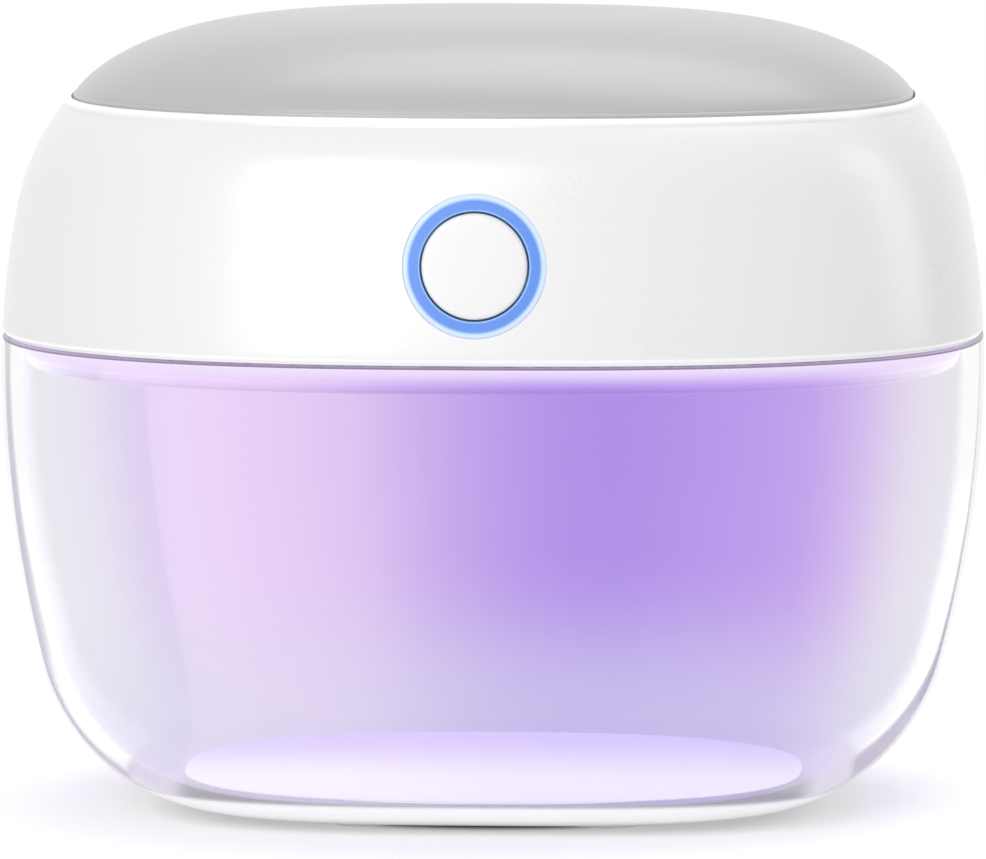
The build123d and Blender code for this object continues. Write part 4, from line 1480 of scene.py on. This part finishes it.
@dataclass
class LidShell:
    """The white shell of the lid, with its knuckle, charging port and button hole."""

    case: Case
    lower_round: float = 0.85 * MM
    bevel_z: float = 74.45 * MM
    rim_z: float = 75.35 * MM
    rim_bevel: float = 0.75 * MM
    cap_gap: float = 0.25 * MM
    ledge_z: float = 72.15 * MM
    ledge_thick: float = 1.6 * MM
    ledge_inset: float = 4.0 * MM
    gusset_z: float = 54.4 * MM
    gusset_tip: float = 0.6 * MM
    heel_reach: float = 3.2 * MM
    heel_gap: float = 0.35 * MM
    opening: float = math.radians(55)
    bore_radius: float = 1.06 * MM
    button_hole: float = 7.45 * MM
    port_z: float = 58.83 * MM
    port: tuple[float, float] = (9.34 * MM, 3.66 * MM)
    port_dish: tuple[float, float] = (12.6 * MM, 6.8 * MM)
    port_dish_depth: float = 1.1 * MM

    def rings(self) -> list[Ring]:
        """Gives the shell's section as rings, from the ledge's underside down, out and up.

        Returns:
            The rings.
        """
        lid, start = self.case.lid, self.case.parting + self.case.lid_gap
        rings = [lid.level(z, self.case.wall) for z in between(self.ledge_z, start, 40)]
        for run, rise in quarter(10):
            rings.append(lid.level(start + self.lower_round * run, self.lower_round * (1 - rise)))
        rings += [lid.level(z) for z in between(start + self.lower_round, self.bevel_z, 48)[1:]]
        top_x, top_y = lid.across.half_at(self.bevel_z), lid.along.half_at(self.bevel_z)
        for run, rise in quarter(8, 1):
            z = self.bevel_z + (self.rim_z - self.bevel_z) * rise
            rings.append(lid.oval(top_x - self.rim_bevel * run, top_y - self.rim_bevel * run, z))
        well = [half + self.cap_gap for half in self.case.cap_half]
        opening = [half - self.ledge_inset for half in self.case.cap_half]
        seat = self.ledge_z + self.ledge_thick
        rings += [lid.oval(*well, z) for z in (self.rim_z, seat)]
        rings += [lid.oval(*opening, z) for z in (seat, self.ledge_z)]
        return rings

    def shell(self) -> bpy.types.Object:
        """Builds the shell with its knuckle and stop heel, cuts its holes and adds its bosses.

        Returns:
            The shell.
        """
        case, half = self.case, self.case.lid_knuckle / 2
        piece = loft("lid_outer_shell", self.rings(), closed=True)
        tip_y = case.middle_y + case.lid.along.half_at(self.gusset_z) - 2 * self.gusset_tip
        web = teardrop(case.hinge, case.knuckle_radius, (tip_y, self.gusset_z), self.gusset_tip)
        heel = teardrop(case.hinge, case.knuckle_radius / 2, self.heel_tip(), self.gusset_tip)
        combine(piece, [prism_x("web", web, -half, half), prism_x("heel", heel, -half, half)], "UNION")
        combine(piece, self.cuts(), "DIFFERENCE")
        join(piece, self.bosses())
        return piece

    def cuts(self) -> list[bpy.types.Object]:
        """Builds what is cut out of the shell: button hole, port, knuckle reliefs and pin bore.

        Returns:
            The closed shapes.
        """
        case, z = self.case, self.case.button_z
        front, back = case.lid.front_y(0.0, z) - 1 * MM, case.hinge[0] - case.hinge_out
        cuts = [tube("button_hole", Vector((0, front, z)), Vector((0, front + 6 * MM, z)),
                     self.button_hole, 160),
                rounded_slot("port", *self.port, self.port_z, back - 8 * MM, back + 2 * MM),
                rounded_slot("dish", *self.port_dish, self.port_z, back - self.port_dish_depth,
                             back + 2 * MM)]
        for left, right in case.bowl_knuckles():
            cuts.append(case.hinge_tube("relief", left - case.knuckle_gap, right + case.knuckle_gap,
                                        case.knuckle_radius + case.knuckle_gap))
        cuts.append(case.hinge_tube("bore", -case.lid_knuckle, case.lid_knuckle, self.bore_radius, 48))
        return cuts

    def bosses(self) -> list[bpy.types.Object]:
        """Builds the four posts for the liner's screws and the two stubs for the button board's.

        Returns:
            The posts and the stubs.
        """
        case, pattern, (post_x, post_y) = self.case, self.case.patterns.bosses, self.case.post_at
        posts = case.grid(pattern, "corner_bosses", (-post_x, post_x, 2), (-post_y, post_y, 2), 51.05 * MM,
                          Radius=2.5 * MM, Length=self.ledge_z - 50.6 * MM, Hole_Radius=1.15 * MM,
                          Hole_Depth=8.95 * MM)
        stubs = case.grid(pattern, "button_bosses", (-case.stub_x, case.stub_x, 2),
                          (-29.6 * MM, -29.6 * MM, 1), case.button_z, (math.pi / 2, 0.0, 0.0),
                          Radius=2.2 * MM, Length=9.2 * MM, Hole_Radius=0.95 * MM, Hole_Depth=6 * MM)
        return [posts, stubs]

    def heel_tip(self) -> tuple[float, float]:
        """Gives the place of the stop heel's tip at rest.

        Returns:
            The place, as (y, z).
        """
        out = self.case.hinge_out - self.heel_gap - self.gusset_tip
        turn = math.acos(out / self.heel_reach) + self.opening
        hinge_y, hinge_z = self.case.hinge
        return (hinge_y - self.heel_reach * math.cos(turn), hinge_z - self.heel_reach * math.sin(turn))

    def build(self) -> None:
        """Builds and dresses the shell."""
        self.case.dress("lid_shell", self.shell(), Body.LID,
                        Finish("lid_white_gloss", (0.885, 0.885, 0.89), 0.30, coat=0.9, coat_roughness=0.28,
                               grain=6000, shade=0.003, depth=0.001, rubbed=0.0, specular=0.8,
                               # Painted highlights along the lid's lower round and its top bevel.
                               painted_highlights=((51.1, 50.7, 0.16), (50.75, 50.2, 0.6), (74.5, 75.2, 0.16)),
                               painted_highlight_rear=self.case.middle_y + self.case.lid.along.half))


@dataclass
class DomeCap:
    """The grey domed cap that snaps into the top of the lid."""

    case: Case
    top_z: float = 84.15 * MM
    out_power: float = 4.0
    up_power: float = 1.28
    seat_z: float = 73.75 * MM
    foot_z: float = 75.8 * MM
    chamfer: float = 0.3 * MM
    wall: float = 1.8 * MM
    plug_z: float = 70.25 * MM
    hook_z: float = 72.0 * MM
    hook_wide: float = 8.0 * MM
    plug_inside: float = 5.8 * MM  # from the cap's edge to the plug's inner side
    plug_outside: float = 4.3 * MM  # from the cap's edge to the plug's outer side
    hook: tuple[tuple[float, float], ...] = ((-0.8 * MM, 0.0), (0.9 * MM, 0.0), (0.0, 1.1 * MM),
                                             (-0.8 * MM, 1.1 * MM))

    def inner_dome(self, share: float) -> Ring:
        """Gives a ring of the dome's underside.

        Args:
            share: Its share of the underside's width and depth.

        Returns:
            The ring.
        """
        half_x, half_y = (half - self.chamfer - self.wall for half in self.case.cap_half)
        rise = self.top_z - self.foot_z - self.wall
        up = (1 - share**self.out_power) ** (1 / self.up_power)
        return self.case.lid.oval(half_x * share, half_y * share, self.foot_z + rise * up)

    def shell(self) -> bpy.types.Object:
        """Builds the cap: hollow underside, plug, edge band and, by Geometry Nodes, the dome.

        Returns:
            The cap.
        """
        oval, (half_x, half_y) = self.case.lid.oval, self.case.cap_half
        inner, outer, lip = self.plug_inside, self.plug_outside, self.chamfer + self.wall
        rings = [self.inner_dome(share) for share in (0.02, 0.2, 0.4, 0.6, 0.75, 0.85, 0.90)]
        roof, gap_ring = rings[-1][0].z - 0.2 * MM, self.inner_dome(0.955)
        rings += [oval(half_x - inner, half_y - inner, z) for z in (roof, self.plug_z)]
        rings += [oval(half_x - outer, half_y - outer, z) for z in (self.plug_z, gap_ring[0].z + 0.2 * MM)]
        rings += [gap_ring, *(self.inner_dome(share) for share in (0.98, 0.995, 1.0))]
        rings.append(oval(half_x - lip, half_y - lip, self.seat_z))
        rings += [oval(half_x, half_y, z) for z in between(self.seat_z, self.foot_z - self.chamfer, 2)]
        for run, rise in quarter(6, 1):
            inset = self.chamfer * run
            rings.append(oval(half_x - inset, half_y - inset, self.foot_z - self.chamfer * (1 - rise)))
        piece = loft("dome_cap_shell", rings, start_cap=True)
        skin = self.case.patterns.dome.make(
            "dome_skin", Half_Width=half_x - self.chamfer, Half_Depth=half_y - self.chamfer,
            Rise=self.top_z - self.foot_z, Foot_Height=self.foot_z, Plan_Power=self.case.lid.power,
            Out_Power=self.out_power, Up_Power=self.up_power, Place=(0.0, self.case.middle_y, 0.0))
        join(piece, [skin])
        self.close_seam(piece)
        join(piece, self.hooks())
        return piece

    def close_seam(self, piece: bpy.types.Object) -> None:
        """Joins the dome's foot to the edge band and turns every face outwards.

        Args:
            piece: The cap.
        """
        with editing(piece.data) as shape:
            bmesh.ops.remove_doubles(shape, verts=shape.verts, dist=2 * SEAM)
            bmesh.ops.recalc_face_normals(shape, faces=shape.faces)

    def hooks(self) -> list[bpy.types.Object]:
        """Builds the four snap hooks on the sides of the plug.

        Returns:
            The hooks.
        """
        plug_x, plug_y = (half - self.plug_outside for half in self.case.cap_half)
        place, hooks = Matrix.Translation((0.0, self.case.middle_y, 0.0)), []
        for turn, reach in enumerate((plug_y, plug_x, plug_y, plug_x)):
            outline = [(reach + out, self.hook_z - down) for out, down in self.hook]
            hook = prism_x("snap_hook", outline, -self.hook_wide / 2, self.hook_wide / 2)
            hook.data.transform(place @ Matrix.Rotation(math.pi / 2 * turn, 4, "Z"))
            hooks.append(hook)
        return hooks

    def build(self) -> None:
        """Builds and dresses the cap."""
        self.case.dress("dome_cap", self.shell(), Body.LID,
                        Finish("cap_grey_satin", (0.495, 0.495, 0.498), 0.36, coat=0.5, coat_roughness=0.3,
                               grain=5000, shade=0.005, depth=0.003, rubbed=0.03))


@dataclass
class Liner:
    """The white underside of the lid with its silicone seal and the lamps' windows."""

    case: Case
    low: float = 47.0 * MM
    clear: float = 0.6 * MM
    seal_low: float = 48.05 * MM
    seal_high: float = 49.55 * MM
    seal_root: float = 0.85 * MM
    seal_edge: float = -0.2 * MM  # how far its edges stand out of the liner
    seal_swell: float = 0.5 * MM  # how much further its middle stands out

    def seal(self) -> bpy.types.Object:
        """Builds the seal, a ring with a rounded lip that stands a little proud.

        Returns:
            The seal.
        """
        case, bowl, rings = self.case, self.case.bowl, []
        half_x, half_y = (side.half_at(case.parting, case.wall) - self.clear
                          for side in (bowl.across, bowl.along))
        for share in between(0.0, 1.0, 14):
            proud = self.seal_edge + self.seal_swell * max(math.sin(math.pi * share), 0.0) ** 0.7
            z = self.seal_low + (self.seal_high - self.seal_low) * share
            rings.append(bowl.oval(half_x + proud, half_y + proud, z))
        rings += [bowl.oval(half_x - self.seal_root, half_y - self.seal_root, z)
                  for z in (self.seal_high, self.seal_low)]
        return loft("seal_ring", rings, closed=True)

    def lit(self, node: str, piece: bpy.types.Object, name: str, colour: Colour, roughness: float) -> None:
        """Lets a piece stand for one CAD node, with the lamps' light painted on it.

        Args:
            node: The CAD node.
            piece: The piece.
            name: The finish's name.
            colour: Its colour.
            roughness: Its roughness.
        """
        finish = LitPlastic(name, colour, roughness, self.case.bowl.across.half, self.low, self.case.parting)
        finish_piece(piece, Body.LID, self.case.slot(node), [node], finish.build(self.case.effects))

    def build(self) -> None:
        """Builds and dresses the liner, the seal, the windows and the lamps."""
        case, row, middle = self.case, (-27 * MM, 27 * MM, 4), (0.0, 0.0, 1)
        liner = copy_of_node(case.nodes["lid_liner"], "lid_underside")
        self.lit("lid_liner", liner, "liner_white", (0.87, 0.87, 0.89), 0.24)
        self.lit("lid_seal", self.seal(), "seal_silicone", (0.80, 0.80, 0.83), 0.45)
        windows = case.grid(case.patterns.discs, "quartz_windows", row, middle, self.low + 0.2 * MM,
                            Radius=3.5 * MM, Height=1.4 * MM, Edge=0.3 * MM, Flange_Radius=4.3 * MM,
                            Flange_Height=0.5 * MM)
        case.dress("uv_lenses", windows, Body.LID,
                   Finish("lit_quartz", (0.55, 0.42, 0.9), 0.08, glow=(0.42, 0.16, 1.0), glow_strength=2.5))
        lamps = case.grid(case.patterns.lamps, "ultraviolet_lamps", row, middle, 49.4 * MM)
        case.dress("uv_leds", lamps, Body.LID, Finish("led_ceramic", (0.8, 0.8, 0.74), 0.4))


@dataclass
class PushButton:
    """The light ring and the push button, both shaped to the curve of the front wall."""

    case: Case
    ring_in: float = 5.6 * MM
    ring_out: float = 7.35 * MM
    ring_proud: float = 0.06 * MM
    ring_soft: float = 0.18 * MM  # width of the round at each edge of its face
    flange_radius: float = 8.35 * MM
    flange_in: float = 2.1 * MM
    flange_back: float = -36.4 * MM
    tube_radii: tuple[float, float] = (6.6 * MM, 7.6 * MM)
    tube_back: float = -30.35 * MM
    cap_radius: float = 5.45 * MM
    cap_proud: float = 0.25 * MM
    cap_edge: float = 0.35 * MM
    stop_radius: float = 6.3 * MM
    stop_run: tuple[float, float] = (-36.2 * MM, -35.0 * MM)
    hollow_radius: float = 4.4 * MM
    hollow_front: float = -38.9 * MM
    stem_radius: float = 1.6 * MM
    stem_tip: float = -33.45 * MM
    sides: int = 160

    def circle(self, radius: float, proud: float) -> Ring:
        """Gives a circle on the front wall, round the button's axis.

        Args:
            radius: Its radius.
            proud: How far it stands out of the wall.

        Returns:
            Its points.
        """
        points = []
        for step in range(self.sides):
            angle = 2 * math.pi * step / self.sides
            x, z = radius * math.cos(angle), self.case.button_z + radius * math.sin(angle)
            points.append(Vector((x, self.case.lid.front_y(x, z) - proud, z)))
        return points

    def flat_circle(self, radius: float, depth: float) -> Ring:
        """Gives an upright circle round the button's axis, at a depth from the middle of the case."""
        y = self.case.middle_y + depth
        return [Vector((point.x, y, point.z)) for point in self.circle(radius, 0.0)]

    def ring(self) -> bpy.types.Object:
        """Builds the light ring: a softly crowned face, a flange behind the wall and a light tube.

        Returns:
            The ring.
        """
        rings, soft = [], self.ring_soft
        for radius in between(self.ring_in, self.ring_out, 18):
            edge = min(radius - self.ring_in, self.ring_out - radius, soft) / soft
            crown = math.sqrt(max(1 - (1 - edge) ** 2, 0.0))
            rings.append(self.circle(radius, self.ring_proud - soft * 0.6 * (1 - crown)))
        rings += [self.circle(radius, -self.flange_in) for radius in (self.ring_out, self.flange_radius)]
        (inner, outer), back, tail = self.tube_radii, self.flange_back, self.tube_back
        section = ((self.flange_radius, back), (outer, back), (outer, tail), (inner, tail), (inner, back),
                   (self.ring_in, back))
        rings += [self.flat_circle(radius, depth) for radius, depth in section]
        return loft("light_ring", rings, closed=True)

    def cap(self) -> bpy.types.Object:
        """Builds the button: a face with a rounded edge, a skirt, a stop flange and a stem.

        Returns:
            The button.
        """
        edge, (front, back) = self.cap_edge, self.stop_run
        face = self.cap_radius - edge
        rings = [self.circle(face * share, self.cap_proud) for share in (0.02, 0.2, 0.4, 0.6, 0.8, 0.9)]
        rings += [self.circle(face + edge * rise, self.cap_proud - edge * run) for run, rise in quarter(10)]
        section = ((self.cap_radius, front), (self.stop_radius, front), (self.stop_radius, back),
                   (self.hollow_radius, back), (self.hollow_radius, self.hollow_front),
                   (self.stem_radius, self.hollow_front), (self.stem_radius, self.stem_tip))
        rings += [self.flat_circle(radius, depth) for radius, depth in section]
        return loft("push_button", rings, start_cap=True, end_cap=True)

    def build(self) -> None:
        """Builds and dresses the ring, the button and what lies behind them."""
        case = self.case
        glow = LitRing("lit_ring_blue", case.button_z, self.ring_in, self.ring_out).build(case.effects)
        finish_piece(self.ring(), Body.LID, case.slot("button_ring"), ["button_ring"], glow)
        case.dress("button_cap", self.cap(), Body.BUTTON,
                   Finish("button_white", (0.885, 0.885, 0.89), 0.30, coat=0.5, coat_roughness=0.25,
                          grain=6000, shade=0.003, depth=0.001, specular=0.7))
        case.copy("button_board", "button_circuit_board", Body.LID,
                  Finish("solder_mask_green", (0.03, 0.16, 0.07), 0.3, coat=0.4, grain=500))
        case.copy("tact_switch", "switch_body", Body.LID,
                  Finish("moulded_black", (0.03, 0.03, 0.032), 0.45))
        case.copy("switch_plunger", "switch_stem", Body.PLUNGER,
                  Finish("plunger_white", (0.75, 0.75, 0.7), 0.4))
        lamps = case.patterns.ring_lamps.make(
            "ring_lamps", Place=(0.0, case.middle_y - 29.9 * MM, case.button_z),
            Turn=(math.pi / 2, 0.0, 0.0))
        case.dress("ring_leds", lamps, Body.LID,
                   Finish("lit_lamp", (0.6, 0.75, 1.0), 0.3, glow=(0.2, 0.45, 1.0), glow_strength=2.0))


@dataclass
class Electronics:
    """Boards, chips, battery, socket and leads inside the lid."""

    case: Case

    def build(self) -> None:
        """Dresses the parts inside the lid."""
        board = Finish("main_solder_mask", (0.03, 0.16, 0.07), 0.3, coat=0.4, grain=500)
        black = Finish("chip_black", (0.03, 0.03, 0.032), 0.45, grain=1500)
        rows = [
            ("main_board", "main_circuit_board", board),
            ("board_parts", "chips_and_coil", black),
            ("hall_sensor", "lid_sensor", black),
            ("uv_board", "lamp_board", Finish("white_mask", (0.8, 0.8, 0.8), 0.35)),
            ("usb_socket", "charging_socket",
             Finish("socket_steel", (0.66, 0.66, 0.68), 0.25, metallic=1.0)),
            ("battery", "battery_pouch", Finish("foil", (0.66, 0.67, 0.69), 0.35, metallic=0.8, depth=0.05,
                                                grain=260)),
            ("battery_tape", "foam_tape", Finish("foam", (0.04, 0.04, 0.04), 0.9, depth=0.15, grain=1400)),
            ("battery_lead", "battery_wires", Finish("red_insulation", (0.55, 0.02, 0.02), 0.4)),
            ("uv_lead", "lamp_wires", Finish("white_insulation", (0.75, 0.75, 0.75), 0.4)),
            ("button_ribbon", "ribbon_cable", Finish("amber_film", (0.55, 0.25, 0.05), 0.25)),
        ]
        for node, name, finish in rows:
            self.case.copy(node, name, Body.LID, finish)
        self.screws(Finish("plated_screw", (0.6, 0.6, 0.62), 0.28, metallic=1.0))

    def screws(self, steel: Finish) -> None:
        """Builds and dresses the screws of the liner, the boards and the button board.

        Args:
            steel: Their finish.
        """
        case, screw, (post_x, post_y) = self.case, self.case.patterns.screws, self.case.post_at
        corner = case.grid(screw, "underside_screws", (-post_x, post_x, 2), (-post_y, post_y, 2),
                           49.6 * MM, (math.pi, 0.0, 0.0), Shank_Radius=1.1 * MM, Length=8 * MM,
                           Head_Radius=2 * MM, Head_Height=1.3 * MM)
        case.dress("liner_screws", corner, Body.LID, steel)
        main = case.grid(screw, "circuit_screws", (-27 * MM, 27 * MM, 2), (-17 * MM, 19 * MM, 2),
                         57.2 * MM)
        short = case.grid(screw, "lamp_board_screws", (-18 * MM, 18 * MM, 2), (0.0, 0.0, 1), 51.7 * MM,
                          Length=3 * MM)
        join(main, [short])
        case.dress("board_screws", main, Body.LID, steel)
        button = case.grid(screw, "button_board_screws", (-case.stub_x, case.stub_x, 2),
                           (-28.4 * MM, -28.4 * MM, 1), case.button_z, (-math.pi / 2, 0.0, 0.0),
                           Length=5.5 * MM)
        case.dress("button_screws", button, Body.LID, steel)


# ---- Studio ---------------------------------------------------------------------------------------
@dataclass
class Studio:
    """The pale floor, the soft lamps, the world and the camera."""

    case: Case
    azimuth: float = 2.85
    elevation: float = 6.07
    distance: float = 1.1
    aim_x: float = -0.1 * MM
    aim_z: float = 39.44 * MM
    scale: float = 9.389 / MM  # pixels to a metre at the middle of the case
    frame_width: int = 986
    sensor: float = 36.0
    lamp_aim_z: float = 45 * MM
    floor_half: float = 3.0
    floor_colour: Colour = (0.80, 0.80, 0.80)
    floor_lift: float = 0.44  # own light of the floor close to the base
    floor_fade: float = 0.14  # what is added to it a little further out
    floor_far: float = 0.75  # light of the far floor on the case
    sky: float = 0.46

    def camera(self) -> None:
        """Makes the camera."""
        data = bpy.data.cameras.new("camera")
        data.sensor_width, data.sensor_fit = self.sensor, "HORIZONTAL"
        data.lens = self.sensor * self.scale * self.distance / self.frame_width
        data.clip_start, data.clip_end = 0.05, 20.0
        camera = bpy.data.objects.new("camera", data)
        bpy.context.scene.collection.objects.link(camera)
        a, e = math.radians(self.azimuth), math.radians(self.elevation)
        back = Vector((math.sin(a) * math.cos(e), -math.cos(a) * math.cos(e), math.sin(e)))
        camera.location = Vector((self.aim_x, self.case.middle_y, self.aim_z)) + back * self.distance
        camera.rotation_euler = (-back).to_track_quat("-Z", "Y").to_euler()
        bpy.context.scene.camera = camera

    def lamp(self, name: str, place: tuple[float, float, float], size: tuple[float, float],
             power: float) -> None:
        """Makes a soft rectangular lamp that points at the case.

        Args:
            name: Its name.
            place: Its place.
            size: Its width and height.
            power: Its power in watts.
        """
        data = bpy.data.lights.new(name, "AREA")
        data.shape, data.size, data.size_y, data.energy = "RECTANGLE", *size, power
        lamp = bpy.data.objects.new(name, data)
        lamp.visible_camera = False
        bpy.context.scene.collection.objects.link(lamp)
        lamp.location = Vector(place)
        aim = Vector((0.0, self.case.middle_y, self.lamp_aim_z))
        lamp.rotation_euler = (aim - lamp.location).to_track_quat("-Z", "Y").to_euler()

    def floor(self) -> None:
        """Makes the floor, white to the camera and still shaded by the case, with a painted contact shadow
        round the base.
        """
        half, mesh = self.floor_half, bpy.data.meshes.new("floor")
        corners = [(-half, -half, 0.0), (half, -half, 0.0), (half, half, 0.0), (-half, half, 0.0)]
        mesh.from_pydata(corners, [], [(0, 1, 2, 3)])
        surface = Surface("floor_white")
        place, bowl = surface.place(), self.case.bowl
        away = surface.add("ShaderNodeVectorMath", {0: place}, operation="LENGTH").outputs["Value"]
        far = surface.span(away, 0.16, 0.34)
        scale = (1 / bowl.across.half_at(bowl.base_z), 1 / bowl.along.half_at(bowl.base_z), 0.0)
        scaled = surface.add("ShaderNodeVectorMath", {0: place, 1: scale}, operation="MULTIPLY")
        reach = surface.add("ShaderNodeVectorMath", {0: scaled.outputs["Vector"]},
                            operation="LENGTH").outputs["Value"]
        # Painted contact shadow: the floor's own light is none at the base's outline and rises a little way
        # out.
        lift = surface.math("ADD", surface.span(reach, 1.0, 1.22, 0.0, self.floor_lift),
                            surface.span(away, 30 * MM, 80 * MM, 0.0, self.floor_fade))
        shown = surface.product(surface.seen(), surface.span(far, 0.0, 1.0, lift, 1.0))
        surface.set({"Base Color": surface.mix(far, (*self.floor_colour, 1.0), BLACK), "Roughness": 0.6,
                     "Specular IOR Level": 0.0, "Emission Color": WHITE,
                     "Emission Strength": surface.most(shown, surface.product(far, self.floor_far))})
        mesh.materials.append(surface.material)
        new_piece("floor", mesh)

    def world(self) -> None:
        """Makes the world: white where it is seen or mirrored, and a gentler fill light elsewhere."""
        world = bpy.data.worlds.new("studio")
        bpy.context.scene.world = world
        world.use_nodes = True
        nodes = Nodes(world.node_tree)
        nodes.feed(world.node_tree.nodes["Background"],
                   {"Color": WHITE, "Strength": nodes.span(nodes.seen(), 0.0, 1.0, self.sky, 1.0)})

    def build(self) -> None:
        """Builds the whole studio."""
        self.camera()
        self.floor()
        self.world()
        self.lamp("key_left", (-0.34, -0.94, 0.30), (0.6, 1.0), 6.0)
        self.lamp("side_right", (1.1, 0.2, 0.3), (0.4, 1.0), 1.4)
        self.lamp("top", (0.16, 0.28, 1.0), (0.9, 0.7), 3.4)
        bpy.context.scene.view_settings.view_transform = "Standard"


def main() -> None:
    """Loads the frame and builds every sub-assembly in order."""
    logging.basicConfig(level=logging.INFO, format="%(name)s: %(message)s")
    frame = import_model()
    SUBPARTS.extend(frame["record"]["subparts"])
    low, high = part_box("dome_cap")
    case = Case(frame["nodes"], Effects(), Patterns(), (low.y + high.y) / 2)
    for assembly in (BowlAssembly(case), LidShell(case), DomeCap(case), Liner(case), PushButton(case),
                     Electronics(case), Studio(case)):
        assembly.build()
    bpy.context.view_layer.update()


if __name__ == "__main__":
    main()
